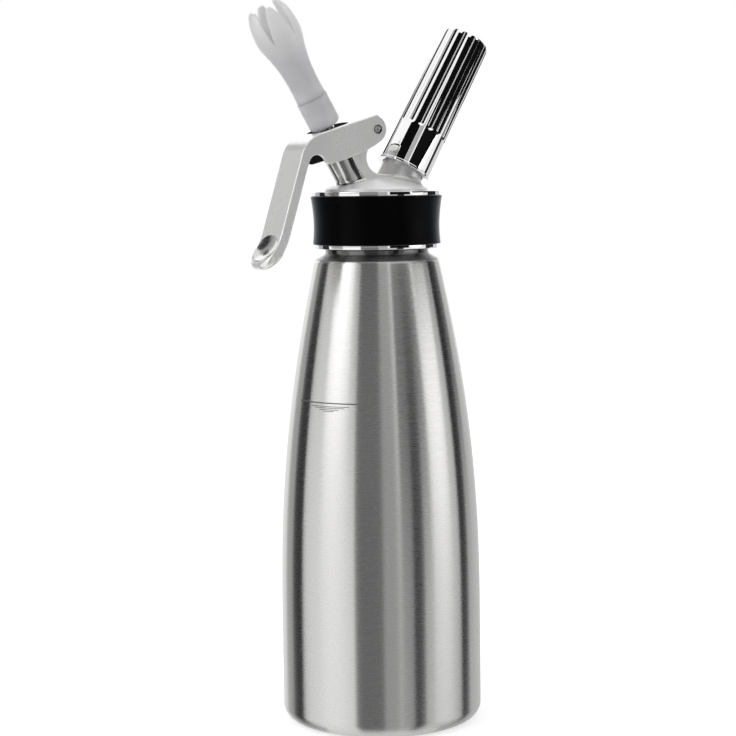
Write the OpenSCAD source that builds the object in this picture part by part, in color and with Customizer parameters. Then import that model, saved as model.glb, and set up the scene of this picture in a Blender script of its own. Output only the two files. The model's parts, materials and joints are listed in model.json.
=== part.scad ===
// Whipped cream dispenser: steel bottle, screw-on head with lever valve,
// decorator tip and fluted charger holder. Millimetres, +Z up.
// Origin: bottle axis on the surface that it stands on. The lever is at -X, the charger holder at +X.

/* [Bottle] */
// Outer radius of the bottle's straight side
bottle_r = 48.05; // [44:0.05:54]
// Wall of the bottle
bottle_wall = 1.2; // [0.8:0.1:2]
// Radius of the corner between side and base
base_corner_r = 7; // [5:0.5:10]
// Inner radius of the ring that it stands on
rest_ring_r = 36; // [30:1:39]
// Rise of the dished base inside that ring
dish_rise = 3; // [1:0.5:6]
// Height at which the side starts to curve in
shoulder_start_z = 42; // [30:1:70]
// Height at which the long shoulder ends
shoulder_end_z = 221; // [200:1:222]
// Radius at which the long shoulder ends
shoulder_end_r = 30; // [28:0.5:33]
// Lean of the wall from upright at the shoulder's end, degrees
shoulder_lean = 12.5; // [8:0.5:20]
// Pull of the straight side on the shoulder curve
side_pull = 48; // [30:1:60]
// Pull of the leaning end on the shoulder curve
lean_pull = 82; // [50:1:90]
// Radius of the corner above the shoulder
crown_corner_r = 3; // [2:0.5:4]
// Outer radius of the waist under the head
waist_r = 24.6; // [24.5:0.1:25.5]
// Rise from the long shoulder's end to the waist's top
waist_rise = 6.4; // [6.4:0.1:8]
// Outer radius of the threaded neck, at the root of its thread
neck_r = 22.6; // [21:0.1:22.8]
// Length of the neck above the waist
neck_h = 19.6; // [16:0.2:22]

/* [Head] */
// Gap between the waist's top and the head
waist_gap = 0.3; // [0.3:0.1:1]
// Radial room for the thread between neck and skirt
neck_thread_room = 1.5; // [1.2:0.1:1.8]
// Height of the lower bright ring
low_ring_h = 2; // [1.5:0.1:3]
// Outer radius of the lower bright ring
low_ring_r = 29.2; // [28.8:0.1:30]
// Height of the rubber band
band_h = 22.9; // [18:0.1:26]
// Radius of the groove that the band sits in
band_groove_r = 28.2; // [27:0.1:28.4]
// Height of the upper bright ring
top_ring_h = 2.1; // [1.5:0.1:3]
// Outer radius of the upper bright ring
top_ring_r = 30.6; // [29.5:0.1:31]
// Outer radius of the dome
dome_r = 25; // [24:0.1:27]
// Upright rim at the foot of the dome
dome_rim_h = 1.2; // [0.5:0.1:2]
// Rise of the dome above its rim
dome_rise = 5; // [3:0.1:8]
// Wall of the dome
dome_wall = 3; // [2:0.1:4]
// Radius of the hollow inside the dome
dome_hollow_r = 19; // [17:0.5:20]
// Thickness of the head gasket
gasket_h = 2.5; // [2:0.1:3]
// Lean of the valve tube and of the charger boss from upright, degrees
axis_lean = 30; // [25:1:34]
// Depth below the upper ring's top at which the two leaning axes cross the bottle axis
axis_drop = 15.2; // [14:0.1:16]
// Radius of the saddle cut in the web, between the pivot block and the boss
saddle_r = 7.8; // [7.4:0.1:8]
// Height of the web above the dome, under that saddle
web_cover = 1.1; // [0.8:0.1:2]

/* [Rubber band] */
// Outer radius at the band's lower edge
band_low_r = 30.5; // [30:0.1:32]
// Outer radius at the band's upper edge
band_top_r = 31.3; // [30.5:0.1:33]
// Radius towards which the band is drawn in between its edges
band_draw_r = 29.5; // [29:0.1:30.5]

/* [Valve] */
// Radius of the valve tube, which stands between the cheeks
tube_r = 8.2; // [8:0.1:8.8]
// Room between the valve spring and the tube's bore
spring_room = 0.55; // [0.35:0.05:0.75]
// Distance along the valve axis of the tube's rim
tube_rim_s = 40; // [38:0.5:41]
// Distance along the valve axis of the valve seat
seat_s = 13; // [12.5:0.5:14]
// Radius of the flow chamber behind the seat
flow_r = 5; // [4.5:0.1:5.2]
// Depth of the flow chamber
flow_h = 4.5; // [4:0.5:5]
// Length of the guide bush
guide_h = 8; // [7:0.5:9]
// Radius of the valve stem
stem_r = 3.5; // [3.2:0.1:3.8]
// Bore of the valve stem
stem_bore_r = 2; // [1.5:0.1:2.3]
// Radius of the side holes that let cream into the stem
side_hole_r = 1.3; // [1:0.1:1.5]
// Travel of the valve
valve_travel = 4; // [3:0.1:4.2]
// Running clearance between stem and guide
stem_clearance = 0.08; // [0.04:0.01:0.1]
// Radius of the rubber valve seal
seal_r = 6.4; // [6:0.1:6.8]
// Thickness of the rubber valve seal
seal_h = 4; // [3:0.1:4.5]
// Thickness of the foot that carries the seal
foot_h = 2; // [1.5:0.1:2.5]
// Radius of the collar that the lever presses on
collar_r = 7.6; // [7.2:0.1:7.8]
// Thickness of that collar
collar_h = 3; // [2.5:0.1:3.5]
// Room between tube rim and collar beyond the travel
collar_room = 0.5; // [0.3:0.1:1]
// Wire of the valve spring
valve_wire = 1; // [0.8:0.1:1.2]
// Distance from the stem's face to the middle of the spring's wire
coil_room = 1.45; // [1.3:0.05:1.5]
// Curls of the valve spring
valve_curls = 8; // [6:1:9]

/* [Lever] */
// Width of the lever over its two cheeks
lever_w = 21.2; // [20.6:0.1:24]
// Thickness of each cheek
cheek_t = 2.1; // [1.8:0.1:2.2]
// Thickness of the top plate
plate_t = 2.1; // [1.8:0.1:2.4]
// X of the pivot
pivot_x = -4.5; // [-5:0.1:-4]
// Height of the pivot above the upper ring's top
pivot_rise = 29.1; // [28.6:0.1:30]
// Radius of the lever pin
pin_r = 1.9; // [1.6:0.1:2.1]
// Running clearance of the cheeks on the pin
pin_clearance = 0.06; // [0.03:0.01:0.1]
// Slope of the top plate, degrees
plate_slope = 16.5; // [14:0.5:18]
// Distance from the pivot to the top of the plate
plate_lift = 6.8; // [6.6:0.1:7.4]
// Radius of the ears round the pivot
ear_r = 5.2; // [4.9:0.1:6]
// Lean of the handle from upright, degrees
handle_lean = 17.2; // [15:0.2:20]
// Distance from the pivot out to the handle's outer face, level with handle_drop
handle_out = 41; // [40.5:0.1:43]
// Depth below the pivot at which that distance is taken
handle_drop = 14.8; // [14:0.1:16]
// Outer radius of the bend between plate and handle
bend_r = 15; // [12:0.5:18]
// Thickness of the handle
handle_t = 4.6; // [4:0.1:5.5]
// Length of the handle from the virtual corner to the curl
handle_len = 45.8; // [40:0.5:60]
// Outer radius of the curl at the handle's end
curl_r = 30; // [24:1:40]
// Angle of that curl, degrees
curl_angle = 29; // [20:1:34]
// Radius of the arch between handle and cheek, seen from the side
arch_r = 4.5; // [4:0.1:5]
// Depth of the arch's centre below the pivot
arch_drop = 16.3; // [15.5:0.1:17]
// Radius of the cheek's lower corner beside that arch
lobe_r = 2.5; // [2:0.1:3]
// Slope of the cheek's lower edge at that corner, degrees
edge_slope = 14; // [12:0.5:16]
// Pull of that slope on the lower edge
edge_pull = 11.7; // [9:0.1:13]
// Pull of the ear on the lower edge
ear_pull = 8.4; // [6:0.1:9]
// Corner radius of the handle's end, seen from the front
tip_corner_r = 8; // [5:0.5:10]
// Length of the slot that the valve passes through
slot_len = 19; // [18.4:0.1:20]
// Width of that slot
slot_w = 16.4; // [16:0.1:16.8]
// Radius of the lugs that press on the collar
lug_r = 2; // [1.5:0.1:2.2]
// Reach of the lugs from the cheeks
lug_reach = 3.2; // [2:0.1:3.4]
// Free play between lugs and collar
lug_play = 0.2; // [0.15:0.05:0.4]
// Clearance between the cheeks and the pivot block
cheek_clearance = 0.4; // [0.35:0.05:0.6]

/* [Decorator tip] */
// Distance along the valve axis of the nut's lower end
nut_s = 53.2; // [53:0.1:54]
// Length of the nut
nut_h = 14.8; // [14:0.1:16]
// Outer radius of the nut
nut_r = 7.5; // [7.2:0.1:7.9]
// Length of the threaded insert
insert_h = 7; // [6:0.5:8]
// Outer radius of the threaded insert
insert_r = 5.3; // [5:0.1:5.6]
// Thickness of the washer on the stem's end
washer_h = 1; // [0.8:0.1:1.5]
// Seam between nut and tip
nut_seam = 0.3; // [0.2:0.1:0.5]
// Length of the tip above the nut
tip_len = 47; // [40:0.5:55]
// Radius of the tip at the nut
tip_root_r = 7.25; // [7:0.05:7.5]
// Radius of the tip where its slots end
tip_wide_r = 10.95; // [10:0.05:12]
// Radius of the tip across its fingers' ends
tip_mouth_r = 8.1; // [7:0.1:9]
// Wall of the tip
tip_wall = 1.5; // [1.2:0.1:1.8]
// Pairs of opposite slots
slot_pairs = 3; // [3:1:4]
// Length of the slots
tip_slot_h = 15.5; // [12:0.5:17]
// Width of the slots at the mouth
tip_slot_w = 5.4; // [4:0.1:6]
// Turn of the slots about the valve axis, degrees
slot_turn = 15; // [0:1:60]

/* [Charger holder] */
// Distance along the charger axis of the holder's mouth
mouth_s = 30.8; // [30:0.1:32]
// Length of the holder
holder_len = 71.8; // [70:0.1:76]
// Wall at the mouth, over the lined bore
holder_wall = 3.15; // [2.9:0.05:4.1]
// Wall at the closed end, before its rounding
holder_end_wall = 1.95; // [1.8:0.05:2.7]
// Radius of the closed end's rounding
holder_round_r = 4.5; // [3:0.1:5]
// Length of the smooth part below the flutes
smooth_len = 20; // [17:0.5:24]
// Number of flutes
flutes = 16; // [12:1:18]
// Radius of the cutter that makes a flute
flute_r = 2.6; // [2.2:0.1:3]
// Depth of a flute
flute_depth = 0.7; // [0.4:0.05:0.8]
// Excess over the charger's radius of the boss that the holder screws onto
boss_margin = 1.2; // [1:0.1:1.4]
// Length of thread on that boss
boss_thread_h = 11.2; // [10:0.1:12]
// Radial room for the thread between boss and holder
boss_thread_room = 0.9; // [0.8:0.1:1.1]
// Thickness of the liner
liner_t = 0.6; // [0.5:0.1:0.7]

/* [Charger] */
// Radius of the charger
charger_r = 9; // [8.8:0.05:9.05]
// Length of the charger
charger_len = 65; // [64:0.5:66]
// Radius of the charger's neck
charger_neck_r = 4.4; // [4.2:0.1:4.5]
// Length of the charger's neck
charger_neck_h = 8; // [7.6:0.1:8.5]
// Wall of the charger
charger_wall = 1.6; // [1.2:0.1:1.8]
// Radius of the piercing pin
pierce_r = 0.9; // [0.8:0.05:1]
// Height of the seal round the piercing pin
inlet_seal_h = 2.95; // [2.5:0.05:3.2]

/* [Check valve] */
// Radius of the gas chamber below the boss
gas_chamber_r = 3.6; // [3.4:0.1:4]
// Length of the gas chamber
gas_chamber_h = 9; // [8.5:0.5:9.5]
// Thickness of the retaining plug
plug_h = 3; // [2.5:0.1:3.5]
// Radius of the check disc
disc_r = 3; // [2.7:0.1:3.1]
// Thickness of the check disc
disc_h = 1.5; // [1.2:0.1:1.8]
// Wire of the check spring
check_wire = 0.4; // [0.3:0.05:0.4]
// Mean radius of the check spring
check_coil_r = 2; // [1.7:0.1:2.2]
// Curls of the check spring
check_curls = 3; // [2:1:3]

/* [Hidden] */

$fn = 96;
// Overlap by which a cutter passes a face
past = 1;
// Gap between a rubber face and the hard face that it closes on
kiss = 0.05;
// Gap between curved faces that turn or slide past each other
loose = 0.3;

// Heights of the stack, from the waist up
corner_turn = 54;
crown_z = shoulder_end_z - crown_corner_r * sin(shoulder_lean);
crown_x = shoulder_end_r - crown_corner_r * cos(shoulder_lean);
cone_top_z = crown_z + crown_corner_r * sin(corner_turn)
    + (crown_x + crown_corner_r * cos(corner_turn) - waist_r) / tan(corner_turn);
waist_top_z = shoulder_end_z + waist_rise;
neck_top_z = waist_top_z + neck_h;
skirt_z = waist_top_z + waist_gap;
skirt_r = neck_r + neck_thread_room;
band_z = skirt_z + low_ring_h;
top_ring_z = band_z + band_h;
flange_z = top_ring_z + top_ring_h;
gasket_seat_z = neck_top_z + gasket_h;
dome_foot_z = flange_z + dome_rim_h;
dome_sphere_r = (dome_r * dome_r + dome_rise * dome_rise) / (2 * dome_rise);
dome_top_z = dome_foot_z + dome_rise;
dome_centre_z = dome_top_z - dome_sphere_r;
axis_cross_z = flange_z - axis_drop;

// Stations and radii along the valve axis
valve_coil_r = stem_r + coil_room;
tube_bore_r = valve_coil_r + valve_wire / 2 + spring_room;
guide_s = seat_s + flow_h;
spring_s = guide_s + guide_h;
collar_s = tube_rim_s + valve_travel + collar_room;
collar_top_s = collar_s + collar_h;
foot_s = seat_s - kiss - seal_h - foot_h;
ring_s = spring_s - 2;
insert_s = nut_s + 0.8;
stem_top_s = insert_s + insert_h + 1;
tip_flange_s = stem_top_s + washer_h;
tip_s = nut_s + nut_h + nut_seam;

// Stations and radii along the charger axis
gas_top_s = seat_s + gas_chamber_h;
socket_s = mouth_s + 0.7;
boss_top_s = mouth_s + boss_thread_h;
charger_s = socket_s + inlet_seal_h + kiss;
charger_end_s = charger_s + charger_len;
ball_s = charger_end_s - charger_r;
holder_end_s = mouth_s + holder_len;
holder_bore_r = charger_r + loose + liner_t;
holder_r = holder_bore_r + holder_wall;
holder_end_r = holder_bore_r + holder_end_wall;
boss_r = charger_r + boss_margin;
socket_r = charger_neck_r + 0.4;

// Unit vector at an angle
function aim(a) = [cos(a), sin(a)];
// Points on an arc
function arc(c, r, a, b, n) = [for (i = [0:n]) c + r * aim(a + (b - a) * i / n)];
// Points on a cubic curve
function curve(p, q, r, s, n) = [for (i = [0:n]) let (t = i / n, u = 1 - t)
    u * u * u * p + 3 * u * u * t * q + 3 * u * t * t * r + t * t * t * s];
// Crossing of the line through p along d with the line through q along e
function crossing(p, d, q, e) = p + d * ((q[0] - p[0]) * e[1] - (q[1] - p[1]) * e[0]) / (d[0] * e[1] - d[1] * e[0]);

// The lever's driving lines and points, in X and Z
plate_dir = aim(plate_slope);
plate_up = aim(plate_slope + 90);
handle_dir = aim(-90 - handle_lean);
handle_in = aim(-handle_lean);
pivot = [pivot_x, flange_z + pivot_rise];
plate_point = pivot + plate_lift * plate_up;
handle_point = pivot - [handle_out, handle_drop];
handle_corner = crossing(plate_point, plate_dir, handle_point, handle_dir);
curl_start = handle_corner + handle_len * handle_dir;
curl_centre = curl_start - curl_r * handle_in;
nose_angle = -handle_lean - curl_angle;
nose_centre = curl_centre + (curl_r + handle_t / 2) * aim(nose_angle);
arch = crossing(handle_point + (handle_t + arch_r) * handle_in, handle_dir, pivot - [0, arch_drop], [1, 0]);
valve_dir = aim(90 + axis_lean);
lug_at = [0, axis_cross_z] + (collar_top_s + lug_play + lug_r) * valve_dir;
inner_w = lever_w - 2 * cheek_t;
block_w = inner_w - 2 * cheek_clearance;

// Frame of the valve axis: Z runs outward along it, from the crossing
module on_valve_axis() {
    translate([0, 0, axis_cross_z])
        rotate([0, -axis_lean, 0])
            children();
}

// Frame of the charger axis
module on_charger_axis() {
    translate([0, 0, axis_cross_z])
        rotate([0, axis_lean, 0])
            children();
}

// Frame of the lever pin, whose Z is the pin's axis
module on_pivot() {
    translate([pivot[0], 0, pivot[1]])
        rotate([90, 0, 0])
            children();
}

// A disc or rod between two stations
module rod(s0, s1, r) {
    translate([0, 0, s0])
        cylinder(r = r, h = s1 - s0);
}

// An outline in X and Z, made w thick about Y = 0
module slab(w) {
    rotate([90, 0, 0])
        linear_extrude(height = w, center = true)
            children();
}

// ---- coil springs: one unbroken tube from floor to ceiling ----

// Path as angle and height: straight up, a bend into the helix, the helix, and the same again at the top
function coil_path(r, wire, h, curls, steps) =
    let (bend = 1.2 * wire, climb = h - 2 * wire - 2 * bend, sweep = bend / r * 180 / PI)
    concat(
        [[0, 0], [0, wire]],
        [for (a = [30, 60, 90]) [sweep * (1 - cos(a)), wire + bend * sin(a)]],
        [for (i = [1:curls * steps - 1]) [sweep + 360 * i / steps, wire + bend + climb * i / (curls * steps)]],
        [for (a = [90, 60, 30]) [2 * sweep + 360 * curls - sweep * (1 - cos(a)), h - wire - bend * sin(a)]],
        [[2 * sweep + 360 * curls, h - wire], [2 * sweep + 360 * curls, h]]
    );
function coil_point(q, r) = [r * cos(q[0]), r * sin(q[0]), q[1]];
// Least gap of the tube to itself, over pairs of points more than half a curl apart
function coil_gap(path, r, wire) = min([for (i = [0:len(path) - 1]) for (j = [i + 1:len(path) - 1])
    if (path[j][0] - path[i][0] > 180) norm(coil_point(path[j], r) - coil_point(path[i], r))]) - wire;

// Tube along that path, its rings square to the path
module coil(r, wire, h, curls, steps = 8, sides = 6) {
    path = coil_path(r, wire, h, curls, steps);
    last = len(path) - 1;
    rings = [for (i = [0:last])
        let (
            a = coil_point(path[max(i - 1, 0)], r),
            b = coil_point(path[min(i + 1, last)], r),
            along = (b - a) / norm(b - a),
            out = [cos(path[i][0]), sin(path[i][0]), 0],
            side = cross(along, out)
        )
        for (k = [0:sides - 1])
            coil_point(path[i], r) + wire / 2 * (cos(360 * k / sides) * out + sin(360 * k / sides) * side / norm(side))];
    walls = [for (i = [0:last - 1]) for (k = [0:sides - 1])
        let (a = i * sides + k, b = i * sides + (k + 1) % sides)
        for (f = [[a, b, a + sides], [b, b + sides, a + sides]]) f];
    caps = concat(
        [for (k = [1:sides - 2]) [0, k + 1, k]],
        [for (k = [1:sides - 2]) [last * sides, last * sides + k, last * sides + k + 1]]
    );
    polyhedron(points = rings, faces = concat(walls, caps), convexity = 10);
}

valve_spring_h = collar_s - spring_s;
check_spring_h = gas_top_s - kiss - disc_h - seat_s - plug_h;
echo(valve_spring_gap = coil_gap(coil_path(valve_coil_r, valve_wire, valve_spring_h, valve_curls, 8),
    valve_coil_r, valve_wire));
echo(check_spring_gap = coil_gap(coil_path(check_coil_r, check_wire, check_spring_h, check_curls, 8),
    check_coil_r, check_wire));

// ---- bottle ----

// Half outline of the bottle's skin, drawn in by t from the outer one
function skin(t) = concat(
    [[0, dish_rise + t]],
    curve([rest_ring_r * 0.5, dish_rise + t], [rest_ring_r * 0.8, dish_rise + t],
        [rest_ring_r * 0.88, t], [rest_ring_r, t], 6),
    arc([bottle_r - base_corner_r, base_corner_r], base_corner_r - t, -90, 0, 8),
    curve([bottle_r - t, shoulder_start_z], [bottle_r - t, shoulder_start_z + side_pull],
        [shoulder_end_r - t + lean_pull * sin(shoulder_lean), shoulder_end_z - lean_pull * cos(shoulder_lean)],
        [shoulder_end_r - t * cos(shoulder_lean), shoulder_end_z - t * sin(shoulder_lean)], 30),
    arc([crown_x, crown_z], crown_corner_r - t, shoulder_lean + 8, corner_turn, 5),
    [[waist_r - t, cone_top_z - t * 0.5], [waist_r - t, waist_top_z - t], [neck_r - t, waist_top_z - t]]
);

module bottle() {
    outer = skin(0);
    inner = skin(bottle_wall);
    rim = arc([neck_r - bottle_wall / 2, neck_top_z - bottle_wall / 2], bottle_wall / 2, 0, 180, 6);
    color("silver")
        rotate_extrude($fn = 144)
            polygon(concat(outer, rim, [for (i = [len(inner) - 1:-1:0]) inner[i]]));
}

// ---- head ----

module head() {
    color("gainsboro")
        difference() {
            union() {
                rotate_extrude($fn = 144)
                    head_shell_outline();
                on_valve_axis()
                    rod(seat_s, tube_rim_s, tube_r);
                on_charger_axis()
                    charger_boss();
                slab(block_w)
                    web_outline();
            }
            on_valve_axis()
                valve_passage();
            on_charger_axis()
                gas_passage();
            on_pivot()
                cylinder(r = pin_r, h = block_w + 2 * past, center = true);
        }
}

// Skirt, rings and dome, as half a section
module head_shell_outline() {
    dome_edge = asin(dome_r / dome_sphere_r);
    hollow_sphere_r = dome_sphere_r - dome_wall;
    hollow_edge = asin(dome_hollow_r / hollow_sphere_r);
    soft = 0.4;
    polygon(concat(
        [[skirt_r + soft, skirt_z], [low_ring_r - soft, skirt_z], [low_ring_r, skirt_z + soft]],
        [[low_ring_r, band_z], [band_groove_r, band_z], [band_groove_r, top_ring_z], [top_ring_r, top_ring_z]],
        arc([top_ring_r - soft, flange_z - soft], soft, 0, 90, 4),
        [[dome_r, flange_z]],
        arc([0, dome_centre_z], dome_sphere_r, 90 - dome_edge, 90, 12),
        arc([0, dome_centre_z], hollow_sphere_r, 90, 90 - hollow_edge, 10),
        [[dome_hollow_r, gasket_seat_z], [skirt_r, gasket_seat_z], [skirt_r, skirt_z + soft]]
    ));
}

// Boss for the charger holder, with a flare where it leaves the dome
module charger_boss() {
    flare_s = mouth_s - 3.5;
    flare_h = 7;
    flare = 3.5;
    rotate_extrude()
        polygon(concat(
            [[0, seat_s], [8, seat_s], [8, flare_s - flare_h], [boss_r + flare, flare_s - flare_h]],
            [for (i = [0:6]) let (a = 90 * i / 6)
                [boss_r + flare * (1 - sin(a)), flare_s - flare_h * 0.72 * cos(a)]],
            [[boss_r, boss_top_s - 0.6], [boss_r - 0.6, boss_top_s], [0, boss_top_s]]
        ));
}

// Web and pivot block between the valve tube and the boss
module web_outline() {
    saddle = [pivot[0] + 3, dome_top_z + web_cover + saddle_r];
    block_ear_r = plate_lift - plate_t - 0.4;
    // Share of a circle's radius at which a corner of the outline hides inside it
    tuck = 0.95;
    rim = [0, axis_cross_z] + (tube_rim_s - 0.7) * valve_dir;
    rim_corner = rim + (tube_r - 1) * aim(axis_lean);
    foot_left = -17;
    foot_right = 12;
    ledge = 7;
    difference() {
        union() {
            translate(pivot)
                circle(r = block_ear_r);
            polygon([
                [foot_left, dome_foot_z - 1],
                rim,
                rim_corner,
                pivot + tuck * block_ear_r * aim(128),
                pivot,
                pivot + tuck * block_ear_r * aim(-40),
                saddle + tuck * saddle_r * aim(120),
                saddle,
                [ledge, saddle[1] - saddle_r],
                [foot_right, dome_foot_z - 1]
            ]);
        }
        translate(saddle)
            circle(r = saddle_r);
    }
}

// Bores of the valve tube, in the valve frame
module valve_passage() {
    rod(seat_s - past, guide_s, flow_r);
    rod(guide_s, tube_rim_s + past, tube_bore_r);
}

// Bores of the gas side, in the charger frame
module gas_passage() {
    rod(seat_s - past, gas_top_s, gas_chamber_r);
    rod(gas_top_s - past, socket_s, 1.2);
    rod(socket_s - 3.5, socket_s + past, 2.5);
    rod(socket_s, boss_top_s + past, socket_r);
}

module grip_band() {
    color("black")
        rotate_extrude($fn = 144)
            polygon(concat(
                [[band_groove_r, band_z], [band_low_r - 0.4, band_z]],
                curve([band_low_r, band_z + 0.4], [band_draw_r + 0.3, band_z + band_h * 0.3],
                    [band_draw_r + 0.2, band_z + band_h * 0.55], [band_top_r, top_ring_z - 0.4], 10),
                [[band_top_r - 0.4, top_ring_z], [band_groove_r, top_ring_z]]
            ));
}

module head_gasket() {
    color("whitesmoke")
        difference() {
            rod(neck_top_z, gasket_seat_z, skirt_r - loose);
            rod(neck_top_z - past, gasket_seat_z + past, dome_hollow_r + 0.5);
        }
}

// ---- lever ----

// Side outline of the lever, cheeks and handle in one
function lever_outline() =
    let (
        bend_run = bend_r * tan((90 - handle_lean - plate_slope) / 2),
        bend_centre = handle_corner + bend_run * plate_dir - bend_r * plate_up,
        lobe_turn = 22.5,
        lobe = arch + (arch_r + lobe_r) * aim(lobe_turn),
        lobe_foot = lobe + lobe_r * aim(edge_slope - 90),
        ear_turn = 34,
        ear_foot = pivot + ear_r * aim(ear_turn - 90)
    )
    concat(
        [plate_point + 0.4 * plate_dir],
        arc(bend_centre, bend_r, 90 + plate_slope, 180 - handle_lean, 8),
        arc(curl_centre, curl_r, -handle_lean, nose_angle, 8),
        arc(nose_centre, handle_t / 2, nose_angle + 180, nose_angle + 360, 8),
        arc(curl_centre, curl_r + handle_t, nose_angle, -handle_lean, 8),
        arc(arch, arch_r, 180 - handle_lean, lobe_turn, 10),
        arc(lobe, lobe_r, lobe_turn - 180, edge_slope - 90, 5),
        curve(lobe_foot, lobe_foot + edge_pull * aim(edge_slope), ear_foot - ear_pull * aim(ear_turn), ear_foot, 8),
        arc(pivot, ear_r, ear_turn - 80, 80, 10)
    );

// Space under the plate and between the cheeks
module lever_channel() {
    under = plate_point - plate_t * plate_up;
    front = crossing(under, plate_dir, handle_point + handle_t * handle_in, handle_dir);
    corner_cut = 5;
    reach = 40;
    polygon([
        under + reach / 2 * plate_dir,
        front + corner_cut * plate_dir,
        front + corner_cut * handle_dir,
        front + reach * handle_dir + reach * handle_in,
        under + reach / 2 * plate_dir - reach * plate_up
    ]);
}

module lever() {
    root = 1;
    color("darkgray")
        difference() {
            union() {
                difference() {
                    slab(lever_w)
                        polygon(lever_outline());
                    slab(inner_w)
                        lever_channel();
                    lever_slot();
                }
                for (side = [-1, 1])
                    translate([lug_at[0], side * (inner_w + root - lug_reach) / 2, lug_at[1]])
                        rotate([90, 0, 0])
                            cylinder(r = lug_r, h = lug_reach + root, center = true);
            }
            on_pivot()
                cylinder(r = pin_r + pin_clearance, h = lever_w + 2 * past, center = true);
            handle_end_cut();
        }
}

// Slot with rounded corners through the plate, square to it
module lever_slot() {
    centre = crossing(plate_point - plate_t / 2 * plate_up, plate_dir, [0, axis_cross_z], valve_dir);
    corner_r = 6;
    translate([centre[0], 0, centre[1]])
        rotate([0, -plate_slope, 0])
            linear_extrude(height = 8, center = true)
                union() {
                    square([slot_len - 2 * corner_r, slot_w], center = true);
                    square([slot_len, slot_w - 2 * corner_r], center = true);
                    for (x = [-1, 1])
                        for (y = [-1, 1])
                            translate([x * (slot_len / 2 - corner_r), y * (slot_w / 2 - corner_r)])
                                circle(r = corner_r);
                }
}

// What rounds the handle's end, seen from the front
module handle_end_cut() {
    end_z = nose_centre[1] - handle_t / 2;
    for (side = [-1, 1])
        translate([nose_centre[0], side * (lever_w / 2 - tip_corner_r), end_z + tip_corner_r])
            rotate([0, 90, 0])
                linear_extrude(height = 40, center = true)
                    difference() {
                        translate([0, side > 0 ? 0 : -tip_corner_r - past])
                            square([tip_corner_r + past, tip_corner_r + past]);
                        circle(r = tip_corner_r);
                    }
}

module lever_pin() {
    color("dimgray")
        on_pivot()
            difference() {
                cylinder(r = pin_r, h = lever_w - 0.6, center = true);
                cylinder(r = 0.45, h = lever_w + past, center = true);
            }
}

// ---- valve ----

module valve_guide() {
    color("white")
        on_valve_axis()
            difference() {
                rod(guide_s, spring_s, tube_bore_r);
                rod(guide_s - past, spring_s + past, stem_r + stem_clearance);
            }
}

module valve_stem() {
    groove_r = stem_r - 0.9;
    color("lightgray")
        on_valve_axis()
            difference() {
                union() {
                    rod(foot_s, foot_s + foot_h, seal_r - 1);
                    rod(foot_s, stem_top_s, stem_r);
                }
                rod(seat_s + 1, stem_top_s + past, stem_bore_r);
                translate([0, 0, seat_s + 2.5])
                    for (a = [0, 90])
                        rotate([0, 90, a])
                            cylinder(r = side_hole_r, h = 4 * stem_r, center = true);
                difference() {
                    rod(ring_s - 0.75, ring_s + 0.75, stem_r + past);
                    rod(ring_s - 2, ring_s + 2, groove_r);
                }
            }
}

module valve_seal() {
    s = foot_s + foot_h;
    color("black")
        on_valve_axis()
            rotate_extrude()
                polygon([[stem_r, s], [seal_r - 1.4, s], [seal_r, s + seal_h - 1.2], [seal_r, s + seal_h],
                    [stem_r, s + seal_h]]);
}

module stem_ring() {
    ring_r = (0.9 + stem_clearance - 0.02) / 2;
    color("black")
        on_valve_axis()
            translate([0, 0, ring_s])
                rotate_extrude()
                    translate([stem_r - 0.9 + ring_r, 0])
                        circle(r = ring_r, $fn = 32);
}

module valve_spring() {
    color("silver")
        on_valve_axis()
            translate([0, 0, spring_s])
                coil(valve_coil_r, valve_wire, valve_spring_h, valve_curls);
}

module spring_collar() {
    color("silver")
        on_valve_axis()
            difference() {
                rotate_extrude()
                    polygon([[stem_r, collar_s], [collar_r - 0.5, collar_s], [collar_r, collar_s + 0.5],
                        [collar_r, collar_top_s - 0.5], [collar_r - 0.5, collar_top_s], [stem_r, collar_top_s]]);
                for (a = [45, 225])
                    rotate([0, 0, a])
                        translate([5.6, 0, collar_top_s - 1.5])
                            cylinder(r = 0.8, h = 1.5 + past);
            }
}

// ---- decorator tip ----

module tip_nut() {
    cavity_s = insert_s + insert_h;
    shoulder_s = tip_flange_s + 2.4;
    color("gainsboro")
        on_valve_axis()
            rotate_extrude()
                polygon([[insert_r - 0.5, nut_s], [nut_r - 1.4, nut_s], [nut_r - 0.4, nut_s + 0.6], [nut_r, nut_s + 2],
                    [nut_r, nut_s + nut_h - 0.3], [nut_r - 0.3, nut_s + nut_h], [5, nut_s + nut_h], [5, shoulder_s],
                    [6, shoulder_s], [6, cavity_s], [insert_r, cavity_s], [insert_r, insert_s],
                    [insert_r - 0.5, insert_s]]);
}

module nut_insert() {
    color("silver")
        on_valve_axis()
            difference() {
                rod(insert_s, insert_s + insert_h, insert_r);
                rod(insert_s - past, insert_s + insert_h + past, stem_r + 0.1);
            }
}

module tip_washer() {
    color("black")
        on_valve_axis()
            difference() {
                rod(stem_top_s, tip_flange_s, 5.6);
                rod(stem_top_s - past, tip_flange_s + past, stem_bore_r + 0.2);
            }
}

// Half outline of the tip's skin above the nut, drawn in by t
function tip_skin(t) = [for (p = concat(
    curve([tip_root_r, 0], [tip_root_r - 1.25, tip_len * 0.404], [tip_wide_r - 0.56, tip_len * 0.568],
        [tip_wide_r, tip_len - tip_slot_h], 14),
    [for (q = curve([tip_wide_r, tip_len - tip_slot_h], [tip_wide_r + 0.35, tip_len - tip_slot_h + 3],
        [tip_wide_r - 0.15, tip_len - 3.5], [tip_mouth_r, tip_len], 10)) if (q[1] > tip_len - tip_slot_h + 0.1) q]
    )) [p[0] - t, tip_s + p[1]]];

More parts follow.
